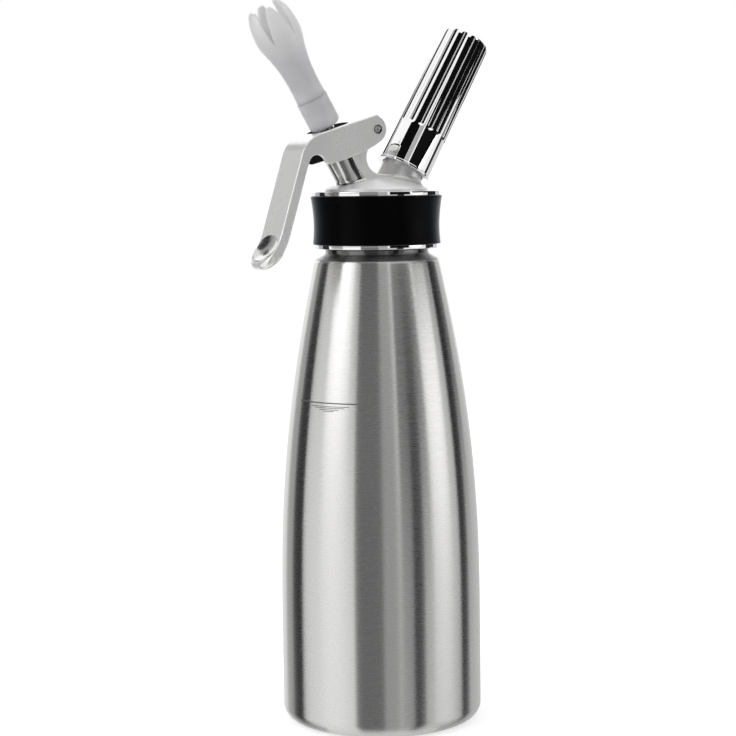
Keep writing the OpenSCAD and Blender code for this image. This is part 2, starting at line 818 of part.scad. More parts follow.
module decorator_tip() {
    outer = tip_skin(0);
    inner = [for (p = tip_skin(tip_wall)) if (p[1] > tip_s + 5) p];
    bore_r = stem_bore_r + 0.2;
    color("white")
        on_valve_axis()
            difference() {
                rotate_extrude()
                    polygon(concat(
                        [[bore_r, tip_flange_s], [5.6, tip_flange_s], [5.6, tip_flange_s + 2.2],
                            [5 - loose, tip_flange_s + 2.2], [5 - loose, tip_s]],
                        outer,
                        [for (i = [len(inner) - 1:-1:0]) inner[i]],
                        [[bore_r, tip_s + 2]]
                    ));
                for (i = [0:slot_pairs - 1])
                    rotate([0, 0, slot_turn + 180 / slot_pairs * i])
                        rotate([90, 0, 0])
                            linear_extrude(height = 4 * tip_wide_r, center = true)
                                polygon([[0, tip_s + tip_len - tip_slot_h],
                                    [tip_slot_w / 2 * (1 + past / tip_slot_h), tip_s + tip_len + past],
                                    [-tip_slot_w / 2 * (1 + past / tip_slot_h), tip_s + tip_len + past]]);
            }
}

// ---- charger holder ----

module charger_holder() {
    taper = atan((holder_r - holder_end_r) / holder_len);
    lip = 0.35;
    color("silver")
        on_charger_axis()
            difference() {
                rotate_extrude()
                    polygon(concat(
                        [[boss_r + boss_thread_room - 0.5, mouth_s], [holder_r + lip - 0.3, mouth_s],
                            [holder_r + lip, mouth_s + 0.3], [holder_r + lip, mouth_s + 0.9],
                            [holder_r, mouth_s + 1.3]],
                        arc([holder_end_r - holder_round_r, holder_end_s - holder_round_r], holder_round_r, 0, 90, 8),
                        [[0, holder_end_s]],
                        arc([0, ball_s], charger_r + loose, 90, 0, 10),
                        [[holder_bore_r, ball_s], [holder_bore_r, boss_top_s + 1.2],
                            [boss_r + boss_thread_room - 0.5, boss_top_s + 0.6]]
                    ));
                for (i = [0:flutes - 1])
                    rotate([0, 0, 360 / flutes * (i + 0.5)])
                        translate([holder_r + flute_r - flute_depth, 0, mouth_s])
                            rotate([0, -taper, 0])
                                flute_cutter();
            }
}

// Round-ended cutter along a flute
module flute_cutter() {
    start = smooth_len + flute_r * 0.7;
    rotate_extrude($fn = 48)
        polygon(concat(
            [[0, start - flute_r]],
            arc([0, start], flute_r, -75, 0, 5),
            [[flute_r, holder_len + 5], [0, holder_len + 5]]
        ));
}

module holder_liner() {
    color("white")
        on_charger_axis()
            difference() {
                rod(boss_top_s + 2.5, ball_s, holder_bore_r);
                rod(boss_top_s + 2.5 - past, ball_s + past, holder_bore_r - liner_t);
            }
}

// ---- charger ----

// Half outline of the charger's skin, drawn in by t
function bulb_skin(t) = concat(
    [[charger_neck_r - t, charger_s + charger_neck_h]],
    [for (p = curve([charger_neck_r, 0], [charger_neck_r, 3.5], [charger_r, 4.5], [charger_r, 10], 8))
        if (p[1] > 0.1) [p[0] - t, charger_s + charger_neck_h + p[1]]],
    arc([0, ball_s], charger_r - t, 0, 90, 10)
);

module charger_bulb() {
    inner = bulb_skin(charger_wall);
    cap_r = charger_neck_r - 1.1;
    color("lightslategray")
        on_charger_axis()
            rotate_extrude()
                polygon(concat(
                    [[cap_r, charger_s], [charger_neck_r - 0.4, charger_s], [charger_neck_r, charger_s + 0.4]],
                    bulb_skin(0),
                    [for (i = [len(inner) - 1:-1:0]) inner[i]],
                    [[charger_neck_r - charger_wall, charger_s + 1], [cap_r, charger_s + 1]]
                ));
}

module charger_cap() {
    color("silver")
        on_charger_axis()
            difference() {
                rod(charger_s, charger_s + 1, charger_neck_r - 1.1);
                rod(charger_s - past, charger_s + 1 + past, pierce_r + 0.15);
            }
}

module piercing_pin() {
    color("gold")
        on_charger_axis()
            difference() {
                rotate_extrude()
                    polygon([[0, socket_s - 3.5], [2.5, socket_s - 3.5], [2.5, socket_s], [pierce_r, socket_s],
                        [pierce_r, charger_s + 1.8], [0.4, charger_s + 3.2], [0, charger_s + 3.2]]);
                rod(socket_s - 3.5 - past, charger_s + 3.2 + past, 0.35);
            }
}

module inlet_seal() {
    color("black")
        on_charger_axis()
            difference() {
                rod(socket_s, socket_s + inlet_seal_h, socket_r - 0.1);
                rod(socket_s - past, socket_s + inlet_seal_h + past, pierce_r + 0.2);
            }
}

// ---- check valve ----

module check_disc() {
    s = gas_top_s - kiss - disc_h;
    color("black")
        on_charger_axis()
            rotate_extrude()
                polygon([[0, s], [disc_r - 0.3, s], [disc_r, s + 0.3], [disc_r, s + disc_h], [0, s + disc_h]]);
}

module check_spring() {
    color("silver")
        on_charger_axis()
            translate([0, 0, seat_s + plug_h])
                coil(check_coil_r, check_wire, check_spring_h, check_curls);
}

module check_plug() {
    color("silver")
        on_charger_axis()
            difference() {
                rod(seat_s, seat_s + plug_h, gas_chamber_r);
                rod(seat_s - past, seat_s + plug_h + past, 1.2);
                translate([-gas_chamber_r - past, -0.5, seat_s - past])
                    cube([2 * gas_chamber_r + 2 * past, 1, 0.8 + past]);
            }
}

bottle();
head();
grip_band();
head_gasket();
lever();
lever_pin();
valve_guide();
valve_stem();
valve_seal();
stem_ring();
valve_spring();
spring_collar();
decorator_tip();
tip_nut();
nut_insert();
tip_washer();
charger_holder();
holder_liner();
charger_bulb();
charger_cap();
piercing_pin();
inlet_seal();
check_disc();
check_spring();
check_plug();
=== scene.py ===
"""Whipped cream dispenser: its looks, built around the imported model.

Lengths are in millimetres until a mesh is made; the frame's own objects are in metres.
The lever is at -X, the charger holder at +X, and the camera looks from the front, left of centre.
"""

import json
import math

import bmesh
import bpy
from mathutils import Matrix, Vector

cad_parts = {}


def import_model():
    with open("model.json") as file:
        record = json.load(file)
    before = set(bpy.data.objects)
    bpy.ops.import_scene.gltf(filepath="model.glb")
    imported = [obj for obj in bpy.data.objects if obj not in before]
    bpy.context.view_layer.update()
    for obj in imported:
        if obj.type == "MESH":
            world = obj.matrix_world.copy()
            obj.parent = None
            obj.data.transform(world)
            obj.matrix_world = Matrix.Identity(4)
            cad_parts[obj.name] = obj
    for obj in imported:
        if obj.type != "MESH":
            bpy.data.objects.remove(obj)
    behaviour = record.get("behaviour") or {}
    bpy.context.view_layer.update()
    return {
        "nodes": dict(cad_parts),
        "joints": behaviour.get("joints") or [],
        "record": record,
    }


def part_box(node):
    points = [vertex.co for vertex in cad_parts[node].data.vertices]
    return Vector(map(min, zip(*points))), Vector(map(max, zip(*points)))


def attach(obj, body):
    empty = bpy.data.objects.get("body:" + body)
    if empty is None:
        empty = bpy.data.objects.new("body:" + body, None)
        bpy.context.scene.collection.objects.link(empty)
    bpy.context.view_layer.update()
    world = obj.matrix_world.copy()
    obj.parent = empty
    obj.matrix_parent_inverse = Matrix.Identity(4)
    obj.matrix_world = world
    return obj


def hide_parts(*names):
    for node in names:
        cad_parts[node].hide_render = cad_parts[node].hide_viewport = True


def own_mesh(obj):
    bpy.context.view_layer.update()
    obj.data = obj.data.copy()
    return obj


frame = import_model()
scene = bpy.context.scene
MM = 0.001
UP = Vector((0, 0, 1))

# ---- driving sizes ----

# Bottle
BOTTLE_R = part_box("bottle")[1].x / MM
BASE_CORNER_R = 7
REST_RING_R = 36
DISH_RISE = 3
BOTTLE_WALL = 1.2
SHOULDER_START_Z = 42
SHOULDER_END = Vector((30, 221))
SHOULDER_LEAN = 12.5
SIDE_PULL = 48
LEAN_PULL = 82
CROWN_CORNER_R = 3
CROWN_TURN = 54
WAIST_R = 24.6
WAIST_RISE = 6.4
NECK_R = 22.6
NECK_H = 19.6

# Head, its rings, band and dome
WAIST_Z = SHOULDER_END.y + WAIST_RISE
NECK_TOP_Z = WAIST_Z + NECK_H
SKIRT_Z = WAIST_Z + 0.3
SKIRT_R = NECK_R + 1.5
LOW_RING_R = 29.2
BAND_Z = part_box("grip_band")[0].z / MM
TOP_RING_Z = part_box("grip_band")[1].z / MM
BAND_GROOVE_R = 28.2
TOP_RING_R = 30.6
FLANGE_Z = TOP_RING_Z + 2.1
GASKET_SEAT_Z = NECK_TOP_Z + 2.5
DOME_R = 24.5
DOME_FOOT_Z = FLANGE_Z + 1.2
DOME_RISE = 5.8
DOME_HOLLOW_R = 19
DOME_SPHERE_R = (DOME_R ** 2 + DOME_RISE ** 2) / (2 * DOME_RISE)
HOLLOW_SPHERE_R = 62
HOLLOW_CENTRE_Z = DOME_FOOT_Z - 60
DOME_TOP_Z = DOME_FOOT_Z + DOME_RISE
DOME_CENTRE = Vector((0, 0, DOME_TOP_Z - DOME_SPHERE_R))

# Valve and charger axes. A size that ends in _S is a distance along one of them from where they cross.
AXIS_LEAN = math.radians(30)
AXIS_CROSS_Z = FLANGE_Z - 15.2
TUBE_R = 8.2
TUBE_BORE_R = 6
TUBE_RIM_S = 40
SPRING_S = 25.5
SPRING_H = 19
CHECK_SPRING_S = 16
NUT_S = 53.2
NUT_H = 14.8
NUT_R = 7.5
TIP_S = NUT_S + NUT_H + 0.3
TIP_LEN = 47
TIP_SLOT_H = 15.5
MOUTH_S = 30.8
LIP_S = 29.3
BOSS_R = 10.2
BOSS_TOP_S = MOUTH_S + 11.2
BOSS_BORE_R = 4.8
HOLDER_R = 12.85
HOLDER_END_R = 11.85
HOLDER_LEN = 73.3
HOLDER_ROUND_R = 3.2
FLUTES = 16
FLUTE_R = 2.6
FLUTE_DEPTH = 0.7
SMOOTH_LEN = 20

# Lever
LEVER_W = 21.2
CHEEK_T = 2.1
PLATE_T = 2.1
PLATE_SLOPE = 16.5
PLATE_LIFT = 6.8
EAR_R = 6.6
EAR_SHIFT = 2
HANDLE_FROM_PIVOT = Vector((-41, -14.8))
HANDLE_LEAN = 17.2
HANDLE_LEN = 45.8
HANDLE_T = 4.6
HANDLE_CORNER_R = 8
BEND_R = 15
CURL_R = 30
CURL_TURN = 29
ARCH_R = 4.5
ARCH_DROP = 16.3
LOBE_R = 2.5
CHEEK_RISE = 14
EAR_RISE = 34
CHANNEL_DROP = 16.6
SLOT_LEN = 19
SLOT_W = 16.4
SLOT_CORNER_R = 6
LUG_S = 49.7
LUG_R = 2
DISH_FROM_HANDLE = 39.5
DISH_R = 12
DISH_DEPTH = 0.7
DISH_WIDEN = 1.9
PIN_R = 1.9


def aim(degrees):
    return Vector((math.cos(math.radians(degrees)), math.sin(math.radians(degrees))))


def joint(name):
    return next(j for j in frame["joints"] if j["name"] == name)


PIVOT = Vector(joint("lever_squeeze")["pos_m"]).xz / MM
VALVE_AXIS = Matrix.Translation((0, 0, AXIS_CROSS_Z)) @ Matrix.Rotation(-AXIS_LEAN, 4, "Y")
CHARGER_AXIS = Matrix.Translation((0, 0, AXIS_CROSS_Z)) @ Matrix.Rotation(AXIS_LEAN, 4, "Y")
VALVE_DIR = Vector((-math.sin(AXIS_LEAN), math.cos(AXIS_LEAN)))
PLATE_DIR, PLATE_UP = aim(PLATE_SLOPE), aim(PLATE_SLOPE + 90)
HANDLE_DIR, HANDLE_IN = aim(-90 - HANDLE_LEAN), aim(-HANDLE_LEAN)
PLATE_POINT = PIVOT + PLATE_LIFT * PLATE_UP
HANDLE_POINT = PIVOT + HANDLE_FROM_PIVOT


# ---- outlines ----

def arc(centre, radius, start, end, steps):
    return [Vector(centre) + radius * aim(start + (end - start) * i / steps) for i in range(steps + 1)]


def curve(p, q, r, s, steps):
    """Points on a cubic curve."""
    points = []
    for i in range(steps + 1):
        t = i / steps
        u = 1 - t
        points.append(u ** 3 * Vector(p) + 3 * u * u * t * Vector(q)
                      + 3 * u * t * t * Vector(r) + t ** 3 * Vector(s))
    return points


def crossing(p, d, q, e):
    """Crossing of the line through p along d with the line through q along e."""
    return p + d * ((q - p).cross(e) / d.cross(e))


# ---- meshes ----

def make(name, points, faces, place=Matrix()):
    """A mesh object of points in millimetres, its faces turned outward."""
    mesh = bpy.data.meshes.new(name)
    mesh.from_pydata([place @ Vector(p) * MM for p in points], [], faces)
    shell = bmesh.new()
    shell.from_mesh(mesh)
    bmesh.ops.remove_doubles(shell, verts=shell.verts, dist=1e-7)
    bmesh.ops.recalc_face_normals(shell, faces=shell.faces)
    shell.to_mesh(mesh)
    shell.free()
    obj = bpy.data.objects.new(name, mesh)
    scene.collection.objects.link(obj)
    return obj


def revolve(name, outline, place=Matrix(), steps=192):
    """A closed half outline of (radius, height), turned about the place's Z."""
    points, rings = [], []
    for r, z in outline:
        if abs(r) < 1e-6:
            rings.append([len(points)] * steps)
            points.append((0, 0, z))
        else:
            rings.append(list(range(len(points), len(points) + steps)))
            for k in range(steps):
                a = 2 * math.pi * k / steps
                points.append((r * math.cos(a), r * math.sin(a), z))
    faces = []
    for low, high in zip(rings, rings[1:] + rings[:1]):
        for k in range(steps):
            corners = [low[k], low[(k + 1) % steps], high[(k + 1) % steps], high[k]]
            corners = list(dict.fromkeys(corners))
            if len(corners) > 2:
                faces.append(corners)
    return make(name, points, faces, place)


def loft(name, rows, place=Matrix()):
    """Closed rows of equal length joined in turn, with an end cap on the first and last."""
    count = len(rows[0])
    points = [p for row in rows for p in row]
    faces = []
    for i in range(len(rows) - 1):
        for k in range(count):
            a = i * count + k
            b = i * count + (k + 1) % count
            faces.append([a, b, b + count, a + count])
    faces.append(list(range(count)))
    faces.append(list(range((len(rows) - 1) * count, len(rows) * count)))
    return make(name, points, faces, place)


def tube(name, path, radius, place=Matrix(), sides=12):
    """A round tube along a path."""
    rows = []
    side = None
    for i, p in enumerate(path):
        along = (path[min(i + 1, len(path) - 1)] - path[max(i - 1, 0)]).normalized()
        if side is None:
            side = along.orthogonal()
        side = (side - side.dot(along) * along).normalized()
        other = along.cross(side)
        rows.append([p + radius * (math.cos(2 * math.pi * k / sides) * side
                                   + math.sin(2 * math.pi * k / sides) * other) for k in range(sides)])
    return loft(name, rows, place)


def apply_modifiers(obj):
    """Turns the object's modifiers into its mesh."""
    bpy.context.view_layer.update()
    mesh = bpy.data.meshes.new_from_object(obj.evaluated_get(bpy.context.evaluated_depsgraph_get()))
    obj.modifiers.clear()
    obj.data = mesh


def combine(obj, other, operation="DIFFERENCE"):
    """Cuts the other object out of obj, or unites them."""
    modifier = obj.modifiers.new(operation, "BOOLEAN")
    modifier.operation = operation
    modifier.solver = "EXACT"
    modifier.object = other
    apply_modifiers(obj)
    bpy.data.objects.remove(other)


def soften(obj, angle, flat):
    """Smooth shading with sharp edges. Flat keeps large plane faces plane beside small rounded ones."""
    obj.data.shade_smooth()
    obj.data.set_sharp_from_angle(angle=math.radians(angle))
    if flat:
        modifier = obj.modifiers.new("flat", "WEIGHTED_NORMAL")
        modifier.keep_sharp = True
        modifier.weight = 100
        apply_modifiers(obj)


# ---- materials ----

def wire(tree, source, target):
    tree.links.new(source, target)


def node(tree, kind, **values):
    made = tree.nodes.new(kind)
    for key, value in values.items():
        if key in made.inputs:
            made.inputs[key].default_value = value
        else:
            setattr(made, key, value)
    return made


def blank(name):
    material = bpy.data.materials.new(name)
    material.use_nodes = True
    tree = material.node_tree
    return material, tree, tree.nodes["Principled BSDF"]


def noise(tree, scale, stretch=(1, 1, 1), detail=4, coordinates=None):
    """Noise of features about 1 / scale metres in size, stretched along the axes."""
    where = coordinates or node(tree, "ShaderNodeTexCoord").outputs["Object"]
    mapping = node(tree, "ShaderNodeMapping", Scale=stretch)
    texture = node(tree, "ShaderNodeTexNoise", Scale=scale, Detail=detail)
    wire(tree, where, mapping.inputs["Vector"])
    wire(tree, mapping.outputs["Vector"], texture.inputs["Vector"])
    return texture.outputs["Fac"]


def spread(tree, source, low, high):
    """Maps the middle of a noise onto a range."""
    ranged = node(tree, "ShaderNodeMapRange")
    ranged.inputs["From Min"].default_value = 0.3
    ranged.inputs["From Max"].default_value = 0.7
    ranged.inputs["To Min"].default_value = low
    ranged.inputs["To Max"].default_value = high
    wire(tree, source, ranged.inputs["Value"])
    return ranged.outputs["Result"]


def tint(tree, source, dark, light):
    """Blends two colours by a noise."""
    ramp = node(tree, "ShaderNodeValToRGB")
    ramp.color_ramp.elements[0].position = 0.3
    ramp.color_ramp.elements[1].position = 0.7
    ramp.color_ramp.elements[0].color = (*dark, 1)
    ramp.color_ramp.elements[1].color = (*light, 1)
    wire(tree, source, ramp.inputs["Fac"])
    return ramp.outputs["Color"]


def bump(tree, source, shader, height, strength):
    made = node(tree, "ShaderNodeBump", Distance=height, Strength=strength)
    wire(tree, source, made.inputs["Height"])
    wire(tree, made.outputs["Normal"], shader.inputs["Normal"])


def around_axis(tree):
    """Coordinates that run round the bottle's axis: turns, height, and distance from the axis."""
    place = node(tree, "ShaderNodeTexCoord")
    parts = node(tree, "ShaderNodeSeparateXYZ")
    angle = node(tree, "ShaderNodeMath", operation="ARCTAN2")
    joined = node(tree, "ShaderNodeCombineXYZ")
    wire(tree, place.outputs["Object"], parts.inputs["Vector"])
    wire(tree, parts.outputs["Y"], angle.inputs[0])
    wire(tree, parts.outputs["X"], angle.inputs[1])
    wire(tree, angle.outputs["Value"], joined.inputs["X"])
    wire(tree, parts.outputs["Z"], joined.inputs["Z"])
    return joined.outputs["Vector"]


def brushed_steel(name="brushed_bottle", shade=1.0):
    """Steel brushed round the bottle: fine level lines, and light smeared up and down. A shade below 1 darkens
    its colours as painted shade.
    """
    material, tree, shader = blank(name)
    shader.inputs["Metallic"].default_value = 1
    shader.inputs["Anisotropic"].default_value = 1
    shader.inputs["Anisotropic Rotation"].default_value = 0.25
    turn = around_axis(tree)
    fine = noise(tree, 1, (9, 1, 16000), 3, turn)
    coarse = noise(tree, 1, (2.5, 1, 1500), 3, turn)
    dark, light = [tuple(shade * c for c in colour)
                   for colour in ((0.60, 0.595, 0.59), (0.65, 0.645, 0.64))]
    wire(tree, tint(tree, fine, dark, light), shader.inputs["Base Color"])
    wire(tree, spread(tree, coarse, 0.26, 0.29), shader.inputs["Roughness"])
    bump(tree, fine, shader, 0.000001, 0.03)
    tangent = node(tree, "ShaderNodeTangent", direction_type="RADIAL", axis="Z")
    wire(tree, tangent.outputs["Tangent"], shader.inputs["Tangent"])
    return material


def metal(name, dark, light, rough, grain=(900, (1, 1, 1)), lift=0.000004, solid=1.0):
    """Metal with a fine grain in its colour, gloss and surface. Rough is a low and a high value, and lift
    the grain's height in metres. A blasted face, which scatters light, has less than 1 for solid."""
    material, tree, shader = blank(name)
    shader.inputs["Metallic"].default_value = solid
    scale, stretch = grain
    fine = noise(tree, scale, stretch)
    wide = noise(tree, 60)
    wire(tree, tint(tree, fine, dark, light), shader.inputs["Base Color"])
    wire(tree, spread(tree, wide, *rough), shader.inputs["Roughness"])
    bump(tree, fine, shader, lift, 0.3)
    return material


def rubber(name, dark, light, rough, gloss=0.5, sheen=0.0):
    material, tree, shader = blank(name)
    shader.inputs["Specular IOR Level"].default_value = gloss
    shader.inputs["Sheen Weight"].default_value = sheen
    shader.inputs["Sheen Roughness"].default_value = 0.27
    shader.inputs["Sheen Tint"].default_value = (0.80, 0.86, 1.0, 1)
    wire(tree, tint(tree, noise(tree, 1500), dark, light), shader.inputs["Base Color"])
    wire(tree, spread(tree, noise(tree, 90), *rough), shader.inputs["Roughness"])
    bump(tree, noise(tree, 2500), shader, 0.00003, 0.25)
    return material


def milky_plastic(name, dark, light, thin=None):
    """Translucent moulded plastic, softly clouded. It turns whiter between the two heights of thin, a painted
    glow standing for light shining through the thin fingers.
    """
    material, tree, shader = blank(name)
    colour = tint(tree, noise(tree, 120), dark, light)
    # Whiter towards the fingers: painted light shining through their thin walls.
    if thin:
        place = node(tree, "ShaderNodeSeparateXYZ")
        ranged = node(tree, "ShaderNodeMapRange")
        ranged.inputs["From Min"].default_value = thin[0] * MM
        ranged.inputs["From Max"].default_value = thin[1] * MM
        mixed = node(tree, "ShaderNodeMixRGB", Color2=(0.97, 0.97, 0.98, 1))
        wire(tree, node(tree, "ShaderNodeTexCoord").outputs["Object"], place.inputs["Vector"])
        wire(tree, place.outputs["Z"], ranged.inputs["Value"])
        wire(tree, ranged.outputs["Result"], mixed.inputs["Fac"])
        wire(tree, colour, mixed.inputs["Color1"])
        colour = mixed.outputs["Color"]
    wire(tree, colour, shader.inputs["Base Color"])
    wire(tree, spread(tree, noise(tree, 250), 0.30, 0.40), shader.inputs["Roughness"])
    bump(tree, noise(tree, 1800), shader, 0.00001, 0.2)
    shader.inputs["Subsurface Weight"].default_value = 0.9
    shader.inputs["Subsurface Radius"].default_value = (1, 1, 1)
    shader.inputs["Subsurface Scale"].default_value = 0.007
    shader.inputs["Transmission Weight"].default_value = 0.1
    return material


materials = {
    "brushed_bottle": brushed_steel(),
    # A darker copy of the bottle's steel: painted shade for the waist under the rings.
    "waist_painted_shade": brushed_steel("waist_painted_shade", 0.3),
    "satin_steel": metal("satin_steel", (0.66, 0.655, 0.65), (0.71, 0.705, 0.70), (0.33, 0.38), solid=0.6),
    "lever_steel": metal("lever_steel", (0.85, 0.845, 0.84), (0.88, 0.875, 0.87), (0.25, 0.29),
                         lift=0.000001, solid=0.55),
    "dome_steel": metal("dome_steel", (0.88, 0.878, 0.875), (0.91, 0.908, 0.905), (0.30, 0.36),
                        lift=0.000002, solid=0.35),
    # Near-black steel: painted shade for the lever's recesses.
    "recess_painted_shade": metal("recess_painted_shade", (0.05, 0.05, 0.05), (0.09, 0.09, 0.09), (0.5, 0.6)),
    "polished_steel": metal("polished_steel", (0.84, 0.838, 0.835), (0.88, 0.878, 0.875), (0.03, 0.05),
                            lift=0.0000005),
    "tube_steel": metal("tube_steel", (0.66, 0.655, 0.65), (0.72, 0.715, 0.71), (0.15, 0.20), lift=0.000001),
    "chrome_holder": metal("chrome_holder", (0.93, 0.93, 0.93), (0.96, 0.96, 0.96), (0.02, 0.035),
                           lift=0.0000004),
    "pin_steel": metal("pin_steel", (0.80, 0.79, 0.78), (0.88, 0.87, 0.86), (0.16, 0.22),
                       lift=0.000001, solid=0.5),
    "spring_steel": metal("spring_steel", (0.50, 0.50, 0.51), (0.60, 0.60, 0.61), (0.18, 0.28)),
    "charger_steel": metal("charger_steel", (0.55, 0.55, 0.56), (0.66, 0.66, 0.67), (0.16, 0.24)),
    "brass": metal("brass", (0.68, 0.50, 0.22), (0.78, 0.60, 0.30), (0.20, 0.30)),
    "black_rubber": rubber("black_rubber", (0.0005, 0.0005, 0.0006), (0.0012, 0.0012, 0.0015),
                           (0.28, 0.34), 0.03, 1.0),
    "seal_rubber": rubber("seal_rubber", (0.012, 0.012, 0.012), (0.022, 0.022, 0.022), (0.5, 0.6)),
    "gasket_silicone": rubber("gasket_silicone", (0.70, 0.70, 0.69), (0.78, 0.78, 0.77), (0.38, 0.48)),
    # The tip's fingers turn whiter: painted light shining through their thin walls.
    "tip_plastic": milky_plastic("tip_plastic", (0.63, 0.625, 0.65), (0.69, 0.685, 0.71), thin=(314, 332)),
    "white_plastic": milky_plastic("white_plastic", (0.74, 0.74, 0.73), (0.82, 0.82, 0.81)),
}


def finish(obj, body, slot, *nodes, angle=30, flat=False, look=None):
    """Gives a piece its shading, its material, the body that it rides on and the nodes that it stands for."""
    soften(obj, angle, flat)
    obj.data.materials.clear()
    obj.data.materials.append(materials[look or slot])
    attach(obj, body)
    if nodes:
        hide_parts(*nodes)
    return obj


def paint_cad():
    """Each CAD node takes the material of its own slot."""
    for row in frame["record"]["subparts"]:
        obj = frame["nodes"][row["node"]]
        obj.data.materials.clear()
        obj.data.materials.append(materials[row["material_slot"]])


# ---- bottle ----

def bottle_skin(t, fine):
    """Half outline of the bottle's skin, drawn in by t."""
    crown = SHOULDER_END - CROWN_CORNER_R * aim(SHOULDER_LEAN)
    cone_top_z = crown.y + CROWN_CORNER_R * aim(CROWN_TURN).y \
        + (crown.x + CROWN_CORNER_R * aim(CROWN_TURN).x - WAIST_R) / math.tan(math.radians(CROWN_TURN))
    lean = aim(SHOULDER_LEAN)
    end = SHOULDER_END - t * lean
    down = Vector((lean.y, -lean.x))
    return [Vector((0, DISH_RISE + t))] \
        + curve((REST_RING_R * 0.5, DISH_RISE + t), (REST_RING_R * 0.8, DISH_RISE + t),
                (REST_RING_R * 0.88, t), (REST_RING_R, t), fine) \
        + arc((BOTTLE_R - BASE_CORNER_R, BASE_CORNER_R), BASE_CORNER_R - t, -90, 0, fine) \
        + curve((BOTTLE_R - t, SHOULDER_START_Z), (BOTTLE_R - t, SHOULDER_START_Z + SIDE_PULL),
                end + LEAN_PULL * down, end, fine * 5) \
        + arc(crown, CROWN_CORNER_R - t, SHOULDER_LEAN, CROWN_TURN, fine // 2)[1:] \
        + arc((WAIST_R - t + 2, cone_top_z - 0.4 * t + 0.5), 2, 180 + CROWN_TURN - 8, 180, 5) \
        + [Vector((WAIST_R - t, WAIST_Z - 0.3 - t)), Vector((WAIST_R - 0.3 - t, WAIST_Z - t)),
           Vector((NECK_R - t, WAIST_Z - t))]


def bottle():
    rim = arc((NECK_R - BOTTLE_WALL / 2, NECK_TOP_Z - BOTTLE_WALL / 2), BOTTLE_WALL / 2, 0, 180, 12)
    outline = bottle_skin(0, 14) + rim + bottle_skin(BOTTLE_WALL, 10)[::-1]
    shell = finish(revolve("bottle_shell", outline, steps=256), "bottle", "brushed_bottle", "bottle")
    # Faces above the shoulder take the darker copy: painted shade in the waist under the rings.
    shell.data.materials.append(materials["waist_painted_shade"])
    for face in shell.data.polygons:
        if face.center.z / MM > SHOULDER_END.y + 1.2:
            face.material_index = 1
    finish(thread("neck_thread", NECK_R, 1.0, 3.5, WAIST_Z + 2.5, NECK_TOP_Z - 2.5), "bottle", "brushed_bottle")


def thread(name, radius, depth, pitch, start, end, place=Matrix(), steps=72):
    """A rounded ridge that climbs round a neck, fading in and out at its ends."""
    total = int(steps * (end - start - 2 * depth) / pitch)
    rows = []
    for i in range(total + 1):
        a = 2 * math.pi * i / steps
        z = start + depth + pitch * i / steps
        grown = depth * min(1, i / 12 + 0.05, (total - i) / 12 + 0.05)
        section = [(-0.4, -depth), (-0.4, depth), (0.6 * grown, 0.62 * depth), (grown, 0.25 * depth),
                   (grown, -0.25 * depth), (0.6 * grown, -0.62 * depth)]
        rows.append([((radius + out) * math.cos(a), (radius + out) * math.sin(a), z + along)
                     for out, along in section])
    return loft(name, rows, place)


def bottle_radius(z):
    """Outer radius of the bottle at a height."""
    points = bottle_skin(0, 14)
    for p, q in zip(points, points[1:]):
        if p.y <= z <= q.y and q.y > p.y and p.y >= SHOULDER_START_Z:
            return p.x + (q.x - p.x) * (z - p.y) / (q.y - p.y)
    return BOTTLE_R


def fill_mark():
    """The filling line and the hatching under it, as thin dark lines on the steel."""
    camera_side = -90 + PHOTO_AZIMUTH
    hatch = camera_side - 34
    line_z = 157
    marks = [(line_z, camera_side - 62, camera_side - 13.6, 0.55)]
    for drop, half in ((1.5, 14.7), (2.2, 11.4), (3.0, 7.5), (3.7, 4.0)):
        marks.append((line_z - drop, hatch - half, hatch + half, 0.3))
    proud = 0.03
    points, faces = [], []
    for z, start, end, height in marks:
        steps = max(4, round((end - start) / 2))
        first = len(points)
        for i in range(steps + 1):
            angle = aim(start + (end - start) * i / steps)
            for dz, out in ((-height / 2, -proud), (-height / 2, proud),
                            (height / 2, proud), (height / 2, -proud)):
                r = bottle_radius(z + dz) + out
                points.append((r * angle.x, r * angle.y, z + dz))
        for i in range(steps):
            for k in range(4):
                a = first + i * 4 + k
                b = first + i * 4 + (k + 1) % 4
                faces.append([a, b, b + 4, a + 4])
        faces.append([first + k for k in range(4)])
        faces.append([first + steps * 4 + k for k in range(4)])
    obj = make("fill_mark", points, faces)
    finish(obj, "bottle", "brushed_bottle", angle=20)
    obj.data.materials[0] = etched


def etched_steel():
    material, tree, shader = blank("etched_mark")
    colour = tint(tree, noise(tree, 1200), (0.10, 0.10, 0.10), (0.16, 0.16, 0.16))
    wire(tree, colour, shader.inputs["Base Color"])
    shader.inputs["Metallic"].default_value = 0.6
    shader.inputs["Roughness"].default_value = 0.5
    return material


etched = etched_steel()


# ---- head ----

